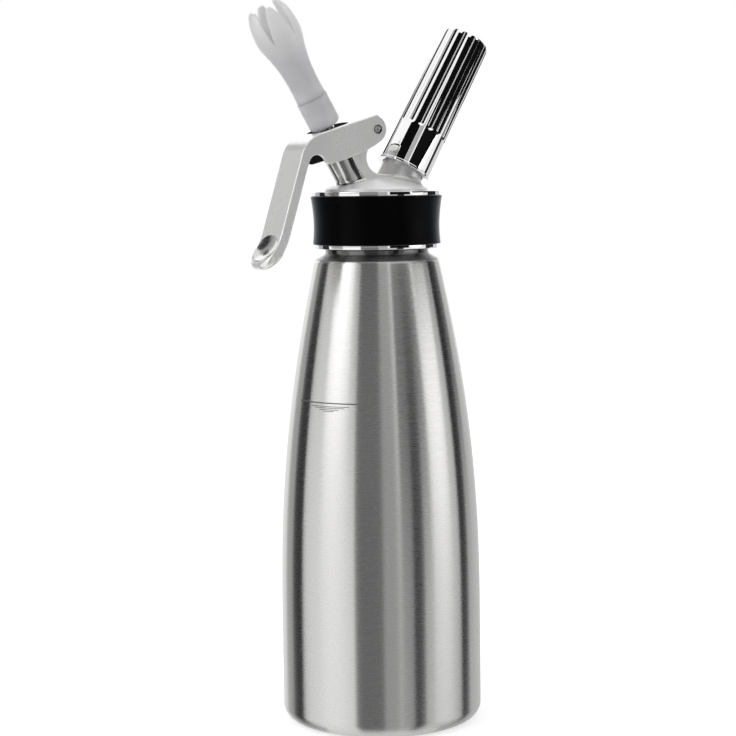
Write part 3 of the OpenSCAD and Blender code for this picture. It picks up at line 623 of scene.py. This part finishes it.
def head_shell():
    """Skirt, groove and dome with its crisp foot, in one revolve."""
    hollow_edge = math.degrees(math.asin(DOME_HOLLOW_R / HOLLOW_SPHERE_R))
    centre = (0, DOME_CENTRE.z)
    rim_r = 0.8
    rim_edge = math.degrees(math.asin((DOME_R - rim_r) / (DOME_SPHERE_R - rim_r)))
    rim_z = DOME_CENTRE.z + (DOME_SPHERE_R - rim_r) * math.cos(math.radians(rim_edge))
    outline = [Vector((SKIRT_R, SKIRT_Z + 0.2)), Vector((BAND_GROOVE_R - 1, SKIRT_Z + 0.2)),
               Vector((BAND_GROOVE_R - 1, BAND_Z - 0.3)), Vector((BAND_GROOVE_R, BAND_Z - 0.3)),
               Vector((BAND_GROOVE_R, TOP_RING_Z + 0.3)), Vector((BAND_GROOVE_R - 1, TOP_RING_Z + 0.3)),
               Vector((BAND_GROOVE_R - 1, FLANGE_Z - 0.1)), Vector((DOME_R, FLANGE_Z - 0.1))] \
        + arc((DOME_R - rim_r, rim_z), rim_r, 0, 90 - rim_edge, 5) \
        + arc(centre, DOME_SPHERE_R, 90 - rim_edge, 90, 30)[1:] \
        + arc((0, HOLLOW_CENTRE_Z), HOLLOW_SPHERE_R, 90, 90 - hollow_edge, 16) \
        + [Vector((DOME_HOLLOW_R, GASKET_SEAT_Z)), Vector((SKIRT_R, GASKET_SEAT_Z))]
    return revolve("head_shell", outline, steps=256)


def bright_ring(name, inner_r, outer_r, low, high):
    """A mirror-bright ring with broken edges."""
    outline = [Vector((inner_r, low))] + arc((outer_r - 0.25, low + 0.25), 0.25, -90, 0, 4) \
        + arc((outer_r - 0.25, high - 0.25), 0.25, 0, 90, 4) + [Vector((inner_r, high))]
    finish(revolve(name, outline, steps=256), "head", "polished_steel")


def foot_curve(place, radius, blend, turns):
    """Where a ball of radius blend rolls round a leaning cylinder and on the dome: per turn, its centre,
    and the points where it touches the cylinder and the dome."""
    found = []
    for k in range(turns):
        a = 2 * math.pi * k / turns
        out = place.to_3x3() @ Vector((math.cos(a), math.sin(a), 0))
        along = place.to_3x3() @ UP
        base = place.translation + (radius + blend) * out - DOME_CENTRE
        b = base.dot(along)
        c = base.length_squared - (DOME_SPHERE_R + blend) ** 2
        s = -b + math.sqrt(b * b - c)
        centre = base + s * along + DOME_CENTRE
        on_dome = DOME_CENTRE + (centre - DOME_CENTRE).normalized() * (DOME_SPHERE_R - 0.02)
        found.append((centre, centre - blend * out, on_dome))
    return found


def leaning_post(name, place, radius, blend, outline):
    """A post that leaves the dome in a hollow rounding, then follows an outline up it and down its bore."""
    steps, turns = 10, 160
    sunk = 1.5
    feet = foot_curve(place, radius, blend, turns)
    rows = [[DOME_CENTRE + (on_dome - DOME_CENTRE).normalized() * (DOME_SPHERE_R - sunk)
             for _, _, on_dome in feet]]
    for i in range(steps + 1):
        t = i / steps
        row = []
        for centre, on_post, on_dome in feet:
            start = (on_dome - centre).normalized()
            end = (on_post - centre).normalized()
            row.append(centre + start.slerp(end, t) * ((1 - t) * (on_dome - centre).length + t * blend))
        rows.append(row)
    angles = [2 * math.pi * k / turns for k in range(turns)]
    for r, s in outline:
        rows.append([place @ Vector((r * math.cos(a), r * math.sin(a), s)) for a in angles])
    return loft(name, rows)


def head():
    finish(head_shell(), "head", "satin_steel", "head", look="dome_steel")
    bright_ring("low_ring", SKIRT_R, LOW_RING_R, SKIRT_Z, BAND_Z)
    bright_ring("top_ring", DOME_R - 1, TOP_RING_R, TOP_RING_Z, FLANGE_Z)
    tube_edge = [Vector((TUBE_R, TUBE_RIM_S - 0.4)), Vector((TUBE_R - 0.12, TUBE_RIM_S - 0.12)),
                 Vector((TUBE_R - 0.4, TUBE_RIM_S)), Vector((TUBE_BORE_R + 0.3, TUBE_RIM_S)),
                 Vector((TUBE_BORE_R, TUBE_RIM_S - 0.3)), Vector((TUBE_BORE_R, SPRING_S - 8))]
    finish(leaning_post("valve_tube", VALVE_AXIS, TUBE_R, 1.6, tube_edge),
           "head", "polished_steel", look="tube_steel")
    boss_edge = [Vector((BOSS_R, BOSS_TOP_S - 0.6)), Vector((BOSS_R - 0.6, BOSS_TOP_S)),
                 Vector((BOSS_BORE_R + 0.1, BOSS_TOP_S)), Vector((BOSS_BORE_R, MOUTH_S + 0.8))]
    finish(leaning_post("charger_boss", CHARGER_AXIS, BOSS_R, 3.5, boss_edge),
           "head", "satin_steel")
    finish(thread("boss_thread", BOSS_R, 0.6, 2, MOUTH_S + 0.8, BOSS_TOP_S - 0.6, CHARGER_AXIS),
           "head", "satin_steel")
    web()


def rounded_slab(name, outline, width, edge, steps=5):
    """A plate in X and Z, width thick about Y = 0, its rim rounded by edge. Outline points carry their
    inward normal."""
    rows = []
    levels = [-width / 2 + edge * (1 - math.sin(math.radians(90 * i / steps))) for i in range(steps, -1, -1)]
    levels = [(y, edge - math.sqrt(max(0, edge ** 2 - (edge - (width / 2 + y)) ** 2))) for y in levels]
    levels += [(-y, d) for y, d in reversed(levels)]
    for y, draw in levels:
        rows.append([(p.x + draw * n.x, y, p.y + draw * n.y) for p, n in outline])
    return loft(name, rows)


def with_normals(points):
    """Each point of a closed outline with the normal that points into it."""
    area = sum(p.cross(q) for p, q in zip(points, points[1:] + points[:1]))
    sign = 1 if area > 0 else -1
    out = []
    for i, p in enumerate(points):
        before = (p - points[i - 1]).normalized()
        after = (points[(i + 1) % len(points)] - p).normalized()
        n0 = Vector((-before.y, before.x))
        n1 = Vector((-after.y, after.x))
        n = (n0 + n1).normalized()
        out.append((p, sign * n / max(0.5, n.dot(n1))))
    return out


def web():
    """Web and pivot block between the valve tube and the boss."""
    width = LEVER_W - 2 * CHEEK_T - 0.8
    foot_left, foot_right = -8, 12
    saddle_r = 7.8
    saddle = Vector((PIVOT.x + 3, DOME_TOP_Z + 1.1 + saddle_r))
    ear_r = PLATE_LIFT - PLATE_T - 0.4
    rim = Vector((0, AXIS_CROSS_Z)) + (TUBE_RIM_S - 0.7) * VALVE_DIR
    rim_corner = rim + (TUBE_R - 1) * aim(30)
    axis_low = Vector((0, AXIS_CROSS_Z)) + 22 * VALVE_DIR
    # Where the ear's circle meets the saddle's
    gap = saddle - PIVOT
    reach = (ear_r ** 2 - saddle_r ** 2 + gap.length ** 2) / (2 * gap.length)
    rise = math.sqrt(max(0, ear_r ** 2 - reach ** 2))
    meet = PIVOT + gap.normalized() * reach + rise * Vector((-gap.y, gap.x)).normalized()
    ear_angle = math.degrees(math.atan2(meet.y - PIVOT.y, meet.x - PIVOT.x))
    saddle_angle = math.degrees(math.atan2(meet.y - saddle.y, meet.x - saddle.x))
    outline = [axis_low, rim, rim_corner] \
        + arc(PIVOT, ear_r, 128, ear_angle, 24) \
        + arc(saddle, saddle_r, saddle_angle % 360, 270, 30)[1:] \
        + [Vector((7, saddle.y - saddle_r)), Vector((foot_right, DOME_FOOT_Z)),
           Vector((foot_left, DOME_FOOT_Z))]
    obj = rounded_slab("pivot_web", with_normals(outline), width, 0.5)
    finish(obj, "head", "satin_steel", flat=True, look="lever_steel")


# ---- rubber band and gasket ----

def grip_band():
    low_r, top_r, draw_r = 30.5, 31.3, 29.5
    height = TOP_RING_Z - BAND_Z
    side = curve((low_r, BAND_Z + 0.5), (draw_r + 0.3, BAND_Z + height * 0.3),
                 (draw_r + 0.2, BAND_Z + height * 0.55), (top_r, TOP_RING_Z - 0.5), 24)
    outline = [Vector((BAND_GROOVE_R, BAND_Z))] + arc((low_r - 0.45, BAND_Z + 0.5), 0.5, -90, -10, 5) \
        + side[1:-1] \
        + arc((top_r - 0.45, TOP_RING_Z - 0.5), 0.5, 10, 90, 5) + [Vector((BAND_GROOVE_R, TOP_RING_Z))]
    finish(revolve("grip_band_skin", outline, steps=224), "head", "black_rubber", "grip_band")


# ---- lever ----

# How far each edge of the outline is rounded towards the cheeks
LEVER_EDGE = {"top": 0.7, "curl": 0.9, "nose": 0.0, "inner": 0.7, "low": 0.45, "ear": 0.45}


def lever_points(retreat=0.0):
    """Side outline of the lever as (point, edge name). Retreat draws the handle's end back along its curl."""
    corner = crossing(PLATE_POINT, PLATE_DIR, HANDLE_POINT, HANDLE_DIR)
    run = BEND_R * math.tan(math.radians((90 - HANDLE_LEAN - PLATE_SLOPE) / 2))
    bend = corner + run * PLATE_DIR - BEND_R * PLATE_UP
    bend_end = 180 - HANDLE_LEAN
    curl_start = corner + HANDLE_LEN * HANDLE_DIR
    curl = curl_start - CURL_R * HANDLE_IN
    nose_angle = -HANDLE_LEAN - CURL_TURN + math.degrees(retreat / (CURL_R + HANDLE_T / 2))
    nose = curl + (CURL_R + HANDLE_T / 2) * aim(nose_angle)
    arch = crossing(HANDLE_POINT + (HANDLE_T + ARCH_R) * HANDLE_IN, HANDLE_DIR,
                    PIVOT - Vector((0, ARCH_DROP)), Vector((1, 0)))
    arch_end = 22.5
    lobe = arch + (ARCH_R + LOBE_R) * aim(arch_end)
    lobe_foot = lobe + LOBE_R * aim(CHEEK_RISE - 90)
    ear = PIVOT - Vector((EAR_SHIFT, 0))
    ear_foot = ear + EAR_R * aim(EAR_RISE - 90)
    rows = []

    def add(points, edge):
        rows.extend((p, edge) for p in points)

    add([PLATE_POINT + t * PLATE_DIR for t in (1.9, -8, -16, -24)], "top")
    add(arc(bend, BEND_R, 90 + PLATE_SLOPE, bend_end, 20), "top")
    add([bend + BEND_R * aim(bend_end) + t * HANDLE_DIR for t in (9, 18, 27)], "top")
    add(arc(curl, CURL_R, -HANDLE_LEAN, nose_angle, 16), "curl")
    add(arc(nose, HANDLE_T / 2, nose_angle + 180, nose_angle + 360, 24), "nose")
    add(arc(curl, CURL_R + HANDLE_T, nose_angle, -HANDLE_LEAN, 16), "inner")
    add([curl_start + HANDLE_T * HANDLE_IN - t * HANDLE_DIR for t in (9, 18, 27)], "inner")
    add(arc(arch, ARCH_R, bend_end, arch_end, 18), "low")
    add(arc(lobe, LOBE_R, arch_end - 180, CHEEK_RISE - 90, 9), "low")
    add(curve(lobe_foot, lobe_foot + 11.7 * aim(CHEEK_RISE), ear_foot - 8.4 * aim(EAR_RISE), ear_foot, 14)[1:],
        "low")
    add(arc(ear, EAR_R, -50, 66, 20), "ear")
    return rows


def lever():
    """The cast lever: its outline stacked across the width, drawn in round the edges and the handle's end."""
    half = LEVER_W / 2
    end_r = HANDLE_CORNER_R
    widest_edge = max(LEVER_EDGE.values())
    levels = {0.0}
    levels |= {half - end_r + end_r * math.sin(math.radians(a)) for a in range(0, 91, 6)}
    levels |= {half - widest_edge * (1 - math.sin(math.radians(a))) for a in range(0, 91, 9)}
    levels = sorted(levels)
    levels = [y for i, y in enumerate(levels) if i == 0 or y - levels[i - 1] > 0.012]
    rows = []
    for y in [-y for y in reversed(levels[1:])] + levels:
        past_corner = max(0.0, abs(y) - (half - end_r))
        retreat = end_r - math.sqrt(max(0, end_r ** 2 - past_corner ** 2))
        named = lever_points(retreat)
        normals = with_normals([p for p, edge in named])
        row = []
        for (p, n), (_, edge) in zip(normals, named):
            r = LEVER_EDGE[edge]
            into = max(0.0, abs(y) - (half - r))
            draw = r - math.sqrt(max(0, r * r - into * into)) if r else 0
            row.append((p.x + draw * n.x, y, p.y + draw * n.y))
        rows.append(row)
    obj = loft("lever_casting", rows)
    combine(obj, lever_channel())
    combine(obj, lever_slot())
    combine(obj, pin_hole())
    for side in (-1, 1):
        combine(obj, lever_lug(side), "UNION")
    combine(obj, thumb_dish())
    finish(obj, "lever", "satin_steel", "lever", angle=12, flat=True, look="lever_steel")
    paint_casting(obj)


def paint_casting(obj):
    """Painted shade: near-black faces in the channel, the slot, the pin's hole and the cheeks' inner sides, and
    smooth, darker ones in the dish, whose darkness is painted shade too.
    """
    obj.data.materials.append(materials["recess_painted_shade"])
    obj.data.materials.append(materials["tube_steel"])
    inner = LEVER_W / 2 - CHEEK_T
    near = 0.05
    to_dish = dish_place().inverted()
    for face in obj.data.polygons:
        centre, normal = face.center / MM, face.normal
        in_channel = abs(centre.y) < inner + near and abs(normal.y) < 0.5 and normal.z < 0 \
            and centre.z > PIVOT.y - CHANNEL_DROP
        on_cheek = abs(abs(centre.y) - inner) < near and abs(normal.y) > 0.9
        height = (centre.xz - PIVOT).dot(PLATE_UP)
        in_slot = PLATE_LIFT - PLATE_T - 2 * near < height < PLATE_LIFT - near \
            and abs(centre.y) < SLOT_W / 2 + 2 * near and abs(normal.xz.dot(PLATE_UP)) < 0.3
        in_hole = (centre.xz - PIVOT).length < PIN_R + 0.5 and abs(normal.y) < 0.5
        # Recess faces take the near-black steel as painted shade.
        if in_channel or on_cheek or in_slot or in_hole:
            face.material_index = 1
        # Dish faces take the darker, glossier tube steel: a smoother finish, and painted shade that marks the
        # dish.
        elif abs((to_dish @ centre).length - 1) < 0.004:
            face.material_index = 2


def dish_place():
    """Where a ball of radius 1 becomes the wide egg that hollows the handle's outer face near its end."""
    at = HANDLE_POINT + DISH_FROM_HANDLE * HANDLE_DIR - (DISH_R - DISH_DEPTH) * HANDLE_IN
    return Matrix.Translation((at.x, 0, at.y)) @ Matrix.Diagonal((DISH_R, DISH_WIDEN * DISH_R, DISH_R, 1))


def thumb_dish():
    return revolve("dish_egg", arc((0, 0), 1, -90, 90, 160), dish_place(), steps=256)


def prism(name, points, low, high, place=Matrix()):
    """An outline in X and Y, drawn up from low to high."""
    return loft(name, [[(p[0], p[1], z) for p in points] for z in (low, high)], place)


TO_SIDE = Matrix.Rotation(math.radians(90), 4, "X")


def lever_channel():
    """The hollow between the cheeks, under the plate and behind the handle."""
    under = PIVOT + (PLATE_LIFT - PLATE_T) * PLATE_UP
    front = crossing(under, PLATE_DIR, HANDLE_POINT + HANDLE_T * HANDLE_IN, HANDLE_DIR)
    end = crossing(front, HANDLE_DIR, PIVOT - Vector((0, CHANNEL_DROP)), Vector((1, 0)))
    chamfer, past = 5, 20
    points = [under + past * PLATE_DIR, front + chamfer * PLATE_DIR, front + chamfer * HANDLE_DIR, end,
              end + Vector((3 * past, 0)), under + past * PLATE_DIR - past / 2 * PLATE_UP]
    half = LEVER_W / 2 - CHEEK_T
    return prism("channel", points, -half, half, TO_SIDE)


def lever_slot():
    """The slot through the plate, with rounded corners."""
    centre = crossing(PIVOT + (PLATE_LIFT - PLATE_T / 2) * PLATE_UP, PLATE_DIR,
                      Vector((0, AXIS_CROSS_Z)), VALVE_DIR)
    points = []
    for sx, sy, start in ((1, 1, 0), (-1, 1, 90), (-1, -1, 180), (1, -1, 270)):
        points += arc((sx * (SLOT_LEN / 2 - SLOT_CORNER_R), sy * (SLOT_W / 2 - SLOT_CORNER_R)),
                      SLOT_CORNER_R, start, start + 90, 10)
    place = Matrix.Translation((centre.x, 0, centre.y)) @ Matrix.Rotation(-math.radians(PLATE_SLOPE), 4, "Y")
    return prism("slot", points, -4, 4, place)


def rod(name, radius, low, high, place, steps=64):
    return prism(name, arc((0, 0), radius, 0, 360, steps)[:-1], low, high, place)


def pin_hole():
    """Wide enough to show as a dark ring round the pin, its walls darkened with painted shade."""
    place = Matrix.Translation((PIVOT.x, 0, PIVOT.y)) @ TO_SIDE
    return rod("hole", PIN_R + 0.3, -15, 15, place)


def lever_lug(side):
    """One of the two lugs inside the cheeks that press the spring's collar."""
    lug = Vector((0, AXIS_CROSS_Z)) + LUG_S * VALVE_DIR
    inner = LEVER_W / 2 - CHEEK_T
    place = Matrix.Translation((lug.x, side * (inner - 1.1), lug.y)) @ TO_SIDE
    return rod("lug", LUG_R, -2.1, 2.1, place)


def coiled_pin():
    """A spring pin rolled from sheet: its spiral shows at both ends."""
    sheet, gap, turns, steps = 0.32, 0.36, 2, 96
    chamfer, end_draw, side_draw = 0.18, 0.0324, 0.003
    half = LEVER_W / 2 - 0.3
    outer, inner = [], []
    for i in range(steps + 1):
        a = 360 * turns * i / steps
        r = PIN_R - (sheet + gap) * a / 360
        outer.append(r * aim(a))
        inner.append((r - sheet) * aim(a))
    outline = with_normals(outer + inner[::-1])
    rows = []
    levels = ((-half, end_draw), (-half + chamfer, side_draw), (half - chamfer, side_draw), (half, end_draw))
    for y, draw in levels:
        rows.append([(p.x + draw * n.x, p.y + draw * n.y, y) for p, n in outline])
    place = Matrix.Translation((PIVOT.x, 0, PIVOT.y)) @ TO_SIDE
    finish(loft("coiled_pin", rows, place), "head", "pin_steel", "lever_pin")


# ---- decorator tip and nut ----

def tip_skin(t, low, high, steps):
    """Radius and station of the tip's skin above the nut, drawn in by t."""
    root_r, wide_r, mouth_r, slot_h = 7.25, 10.95, 8.1, TIP_SLOT_H
    neck = curve((root_r, 0), (root_r - 1.25, TIP_LEN * 0.404), (wide_r - 0.56, TIP_LEN * 0.568),
                 (wide_r, TIP_LEN - slot_h), steps)
    cup = curve((wide_r, TIP_LEN - slot_h), (wide_r + 0.35, TIP_LEN - slot_h + 3),
                (wide_r - 0.15, TIP_LEN - 3.5), (mouth_r, TIP_LEN), steps)
    return [Vector((p.x - t, TIP_S + p.y)) for p in neck + cup[1:] if low <= p.y <= high]


def decorator_tip():
    """Tulip tip: three wedges cut right across its mouth leave six fingers."""
    wall = 1.5
    slot_h, slot_w = TIP_SLOT_H, 5.4
    bore_r, foot_r, neck_r = 2.2, 5.6, 4.7
    foot_s, neck_s, seat_s = 63, 65.2, TIP_S - 0.27
    outer = tip_skin(0, 0, TIP_LEN, 28)
    inner = tip_skin(wall, 5, TIP_LEN, 28)
    lip = [(outer[-1] * (1 - t) + inner[-1] * t) + Vector((0, 0.5 * math.sin(math.pi * t)))
           for t in (0.25, 0.5, 0.75)]
    outline = [Vector((bore_r, foot_s)), Vector((foot_r, foot_s)), Vector((foot_r, neck_s)),
               Vector((neck_r, neck_s)), Vector((neck_r, seat_s)), Vector((outer[0].x - 0.1, seat_s)),
               Vector((outer[0].x - 0.03, TIP_S - 0.2))] \
        + outer + lip + inner[::-1] + [Vector((bore_r, TIP_S + 2))]
    obj = revolve("tulip_tip", outline, VALVE_AXIS, steps=144)
    for i in range(3):
        turn = Matrix.Rotation(math.radians(15 + 60 * i), 4, "Z") @ Matrix.Rotation(math.radians(90), 4, "X")
        low = TIP_S + TIP_LEN - slot_h
        high = TIP_S + TIP_LEN + 1
        half = slot_w / 2 * 1.065
        wedge = [(0.25, low), (half, high), (-half, high), (-0.25, low)]
        combine(obj, prism("slot_cut", wedge, -25, 25, VALVE_AXIS @ turn))
    finish(obj, "tip", "tip_plastic", "decorator_tip", angle=35)


def tip_nut():
    """Union nut, which holds the tip by its foot."""
    hole_r, foot_r, insert_r, mouth_r = 5, 6, 5.3, 4.8
    foot_top_s, foot_s, insert_s = 65.4, 61, 54
    top_s = NUT_S + NUT_H
    outline = [Vector((mouth_r, NUT_S)), Vector((NUT_R - 1.4, NUT_S)), Vector((NUT_R - 0.5, NUT_S + 0.5)),
               Vector((NUT_R - 0.1, NUT_S + 1.4)), Vector((NUT_R, NUT_S + 2.2)), Vector((NUT_R, top_s - 0.2)),
               Vector((NUT_R - 0.05, top_s - 0.07)), Vector((NUT_R - 0.15, top_s)),
               Vector((hole_r, top_s)), Vector((hole_r, foot_top_s)), Vector((foot_r, foot_top_s)),
               Vector((foot_r, foot_s)), Vector((insert_r, foot_s)), Vector((insert_r, insert_s)),
               Vector((mouth_r, insert_s))]
    finish(revolve("union_nut", outline, VALVE_AXIS, steps=144), "tip_nut", "tip_plastic", "tip_nut")


# ---- charger holder ----

def charger_holder():
    """Bright holder: a revolve with round-bottomed flutes, shaded by its true surfaces."""
    lip = 0.35
    end_s = LIP_S + HOLDER_LEN
    side_s = LIP_S + 1.3
    ball_s, ball_r = 90.5, 9.3
    bore_r = 9.9
    round_centre = Vector((HOLDER_END_R - HOLDER_ROUND_R, end_s - HOLDER_ROUND_R))
    outline = [Vector((BOSS_R + 0.4, LIP_S))] \
        + arc((HOLDER_R + lip - 0.3, LIP_S + 0.3), 0.3, -90, 0, 5) \
        + [Vector((HOLDER_R + lip, LIP_S + 0.9)), Vector((HOLDER_R, side_s))] \
        + [Vector((HOLDER_R + (HOLDER_END_R - HOLDER_R) * t,
                   side_s + (end_s - side_s - HOLDER_ROUND_R) * t)) for t in (0.15, 0.3, 0.5, 0.75)] \
        + arc(round_centre, HOLDER_ROUND_R, 0, 90, 16) + [Vector((0, end_s))] \
        + arc((0, ball_s), ball_r, 90, 0, 10) \
        + [Vector((bore_r, ball_s)), Vector((bore_r, BOSS_TOP_S + 1.2)),
           Vector((BOSS_R + 0.4, BOSS_TOP_S + 0.6))]
    obj = revolve("fluted_holder", outline, CHARGER_AXIS, steps=192)
    taper = math.atan((HOLDER_R - HOLDER_END_R) / HOLDER_LEN)
    start = SMOOTH_LEN + FLUTE_R * 0.7
    cutter_outline = [Vector((0, start - FLUTE_R))] + arc((0, start), FLUTE_R, -80, 0, 12) \
        + [Vector((FLUTE_R, HOLDER_LEN + 5)), Vector((0, HOLDER_LEN + 5))]
    for i in range(FLUTES):
        turn = Matrix.Rotation(2 * math.pi * (i + 0.5) / FLUTES, 4, "Z")
        place = CHARGER_AXIS @ turn @ Matrix.Translation((HOLDER_R + FLUTE_R - FLUTE_DEPTH, 0, LIP_S)) \
            @ Matrix.Rotation(-taper, 4, "Y")
        combine(obj, revolve("flute", cutter_outline, place, steps=48))
    finish(obj, "holder", "chrome_holder", "charger_holder", angle=25)


# ---- springs ----

def spring(name, body, place, radius, wire_r, height, curls, node_name):
    """A wound spring with closed ends."""
    steps = 36
    path = []
    dead = 0.75
    dead_rise = 1.1 * wire_r
    total = curls + 2 * dead
    for i in range(int(total * steps) + 1):
        turn = i / steps
        rise = min(max((turn - dead) / curls, 0), 1)
        low = wire_r + dead_rise * min(turn / dead, 1)
        high = height - wire_r - dead_rise * min((total - turn) / dead, 1)
        z = low * (1 - rise) + high * rise
        a = 2 * math.pi * turn
        path.append(Vector((radius * math.cos(a), radius * math.sin(a), z)))
    obj = tube(name, path, wire_r, place)
    finish(obj, body, "spring_steel", node_name, angle=60)
    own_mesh(obj)


# ---- studio ----

PHOTO_AZIMUTH = -29
CAMERA_DISTANCE = 935
CAMERA_HEIGHT = 260
CAMERA_PITCH = 5.5
CAMERA_ROLL = -0.72
CAMERA_YAW = 0.305
FOCAL_PIXELS = 1950
PICTURE_WIDTH = 736


def camera():
    data = bpy.data.cameras.new("photo_camera")
    data.sensor_width = 36
    data.lens = FOCAL_PIXELS * data.sensor_width / PICTURE_WIDTH
    data.clip_end = 50
    obj = bpy.data.objects.new("photo_camera", data)
    scene.collection.objects.link(obj)
    a = math.radians(PHOTO_AZIMUTH)
    place = Vector((math.sin(a), -math.cos(a), 0)) * CAMERA_DISTANCE + UP * CAMERA_HEIGHT
    turn = Matrix.Rotation(a + math.radians(CAMERA_YAW), 4, "Z") \
        @ Matrix.Rotation(math.radians(90 - CAMERA_PITCH), 4, "X") \
        @ Matrix.Rotation(math.radians(CAMERA_ROLL), 4, "Z")
    obj.matrix_world = Matrix.Translation(place * MM) @ turn
    scene.camera = obj


def around(beta, distance, height):
    """A point round the bottle, beta degrees to the right of the camera."""
    a = math.radians(PHOTO_AZIMUTH + beta)
    return Vector((math.sin(a) * distance, -math.cos(a) * distance, height))


SET_R = 1500
SET_LOW = -2200
SET_HIGH = 1250


def strip(index, start, end, low, high, glow, distance=SET_R):
    """One upright panel of the set, from start to end degrees. It lights nothing and shows only in
    what shines."""
    steps = max(1, round((end - start) / 6))
    points, faces = [], []
    for i in range(steps + 1):
        beta = start + (end - start) * i / steps
        points += [around(beta, distance, low), around(beta, distance, high)]
    for i in range(steps):
        faces.append([2 * i, 2 * i + 2, 2 * i + 3, 2 * i + 1])
    name = f"panel_{index}"
    obj = make(name, points, faces)
    material, tree, _ = blank(name)
    light = node(tree, "ShaderNodeEmission", Strength=glow, Color=(1, 1, 1, 1))
    wire(tree, light.outputs["Emission"], tree.nodes["Material Output"].inputs["Surface"])
    obj.data.materials.append(material)
    obj.visible_camera = False
    obj.visible_diffuse = False
    obj.visible_shadow = False
    obj.visible_transmission = False


def lamp(name, beta, distance, height, size, power):
    target_height = 180
    data = bpy.data.lights.new(name, "AREA")
    data.shape = "RECTANGLE"
    data.size, data.size_y = size
    data.energy = power
    obj = bpy.data.objects.new(name, data)
    scene.collection.objects.link(obj)
    place = around(beta, distance, height) * MM
    towards = Vector((0, 0, target_height * MM)) - place
    obj.matrix_world = Matrix.Translation(place) @ towards.to_track_quat("-Z", "Y").to_matrix().to_4x4()


def floor():
    half = 4000
    obj = make("floor", [(-half, -half, 0), (half, -half, 0), (half, half, 0), (-half, half, 0)],
               [[0, 1, 2, 3]])
    material, tree, shader = blank("floor")
    out = tree.nodes["Material Output"]
    colour = tint(tree, noise(tree, 4), (0.86, 0.86, 0.86), (0.88, 0.88, 0.88))
    wire(tree, colour, shader.inputs["Base Color"])
    shader.inputs["Roughness"].default_value = 0.9
    rays = node(tree, "ShaderNodeLightPath")
    seen = node(tree, "ShaderNodeMath", operation="MAXIMUM")
    wire(tree, rays.outputs["Is Camera Ray"], seen.inputs[0])
    wire(tree, rays.outputs["Is Transmission Ray"], seen.inputs[1])
    glow = node(tree, "ShaderNodeEmission", Strength=0.5)
    both = node(tree, "ShaderNodeAddShader")
    choice = node(tree, "ShaderNodeMixShader")
    wire(tree, shader.outputs["BSDF"], both.inputs[0])
    wire(tree, glow.outputs["Emission"], both.inputs[1])
    wire(tree, seen.outputs["Value"], choice.inputs["Fac"])
    wire(tree, shader.outputs["BSDF"], choice.inputs[1])
    wire(tree, both.outputs["Shader"], choice.inputs[2])
    wire(tree, choice.outputs["Shader"], out.inputs["Surface"])
    obj.data.materials.append(material)
    obj.visible_glossy = False


def world():
    made = bpy.data.worlds.new("studio")
    scene.world = made
    made.use_nodes = True
    tree = made.node_tree
    out = tree.nodes["World Output"]
    soft = tree.nodes["Background"]
    soft.inputs["Color"].default_value = (1, 1, 1, 1)
    soft.inputs["Strength"].default_value = 0.62
    seen = node(tree, "ShaderNodeBackground", Strength=1)
    seen.inputs["Color"].default_value = (1, 1, 1, 1)
    rays = node(tree, "ShaderNodeLightPath")
    first = node(tree, "ShaderNodeMath", operation="MAXIMUM")
    second = node(tree, "ShaderNodeMath", operation="MAXIMUM")
    choice = node(tree, "ShaderNodeMixShader")
    wire(tree, rays.outputs["Is Camera Ray"], first.inputs[0])
    wire(tree, rays.outputs["Is Glossy Ray"], first.inputs[1])
    wire(tree, first.outputs["Value"], second.inputs[0])
    wire(tree, rays.outputs["Is Transmission Ray"], second.inputs[1])
    wire(tree, second.outputs["Value"], choice.inputs["Fac"])
    wire(tree, soft.outputs["Background"], choice.inputs[1])
    wire(tree, seen.outputs["Background"], choice.inputs[2])
    wire(tree, choice.outputs["Shader"], out.inputs["Surface"])


# Panels round the set: from and to in degrees right of the camera, lowest and highest edge, brightness,
# and the distance of the near ones
PANELS = (
    (-180, -141, SET_LOW, 330, 0.95),
    (-180, -141, 330, SET_HIGH, 1.35),
    (-141, -122, SET_LOW, SET_HIGH, 0.47),
    (-122, -101, SET_LOW, SET_HIGH, 0.03),
    (-101, -30, SET_LOW, 250, 1.08),
    (-101, -30, 250, SET_HIGH, 0.84),
    (-30, 3, SET_LOW, 100, 0.15),
    (-30, 3, 100, 900, 0.26),
    (-54, 2, 900, 2700, 0.004),
    (3, 20, SET_LOW, 1700, 0.42),
    (20, 38, SET_LOW, 100, 0.55),
    (38, 51, SET_LOW, 100, 0.03),
    (24, 62, 100, SET_HIGH, 0.006),
    (51, 104, SET_LOW, -260, 0.76),
    (51, 104, -260, 100, 0.92),
    (62, 104, 100, SET_HIGH, 0.85),
    (104, 120, SET_LOW, 100, 0.03),
    (104, 132, 100, SET_HIGH, 0.02),
    (120, 180, SET_LOW, 100, 0.68),
    (132, 155, 100, SET_HIGH, 0.68),
    (155, 180, 100, SET_HIGH, 1.1),
    (63, 112, 264, 430, 0.004, 240),
    (-148, -132, 760, 1000, 0.02, 1400),
)


def studio():
    scene.view_settings.view_transform = "Standard"
    world()
    floor()
    lamp("key", -60, 1400, 700, (0.9, 1.4), 6.5)
    lamp("fill", 78, 1400, 500, (0.7, 1.4), 3.6)
    for index, panel in enumerate(PANELS):
        strip(index, *panel)


# ---- the whole ----

camera()
studio()
paint_cad()
bottle()
fill_mark()
head()
grip_band()
lever()
coiled_pin()
decorator_tip()
tip_nut()
charger_holder()
spring("valve_spring_wound", "head", VALVE_AXIS @ Matrix.Translation((0, 0, SPRING_S)), radius=4.95,
       wire_r=0.5, height=SPRING_H, curls=8, node_name="valve_spring")
spring("check_spring_wound", "head", CHARGER_AXIS @ Matrix.Translation((0, 0, CHECK_SPRING_S)), radius=2,
       wire_r=0.2, height=4.45, curls=3, node_name="check_spring")
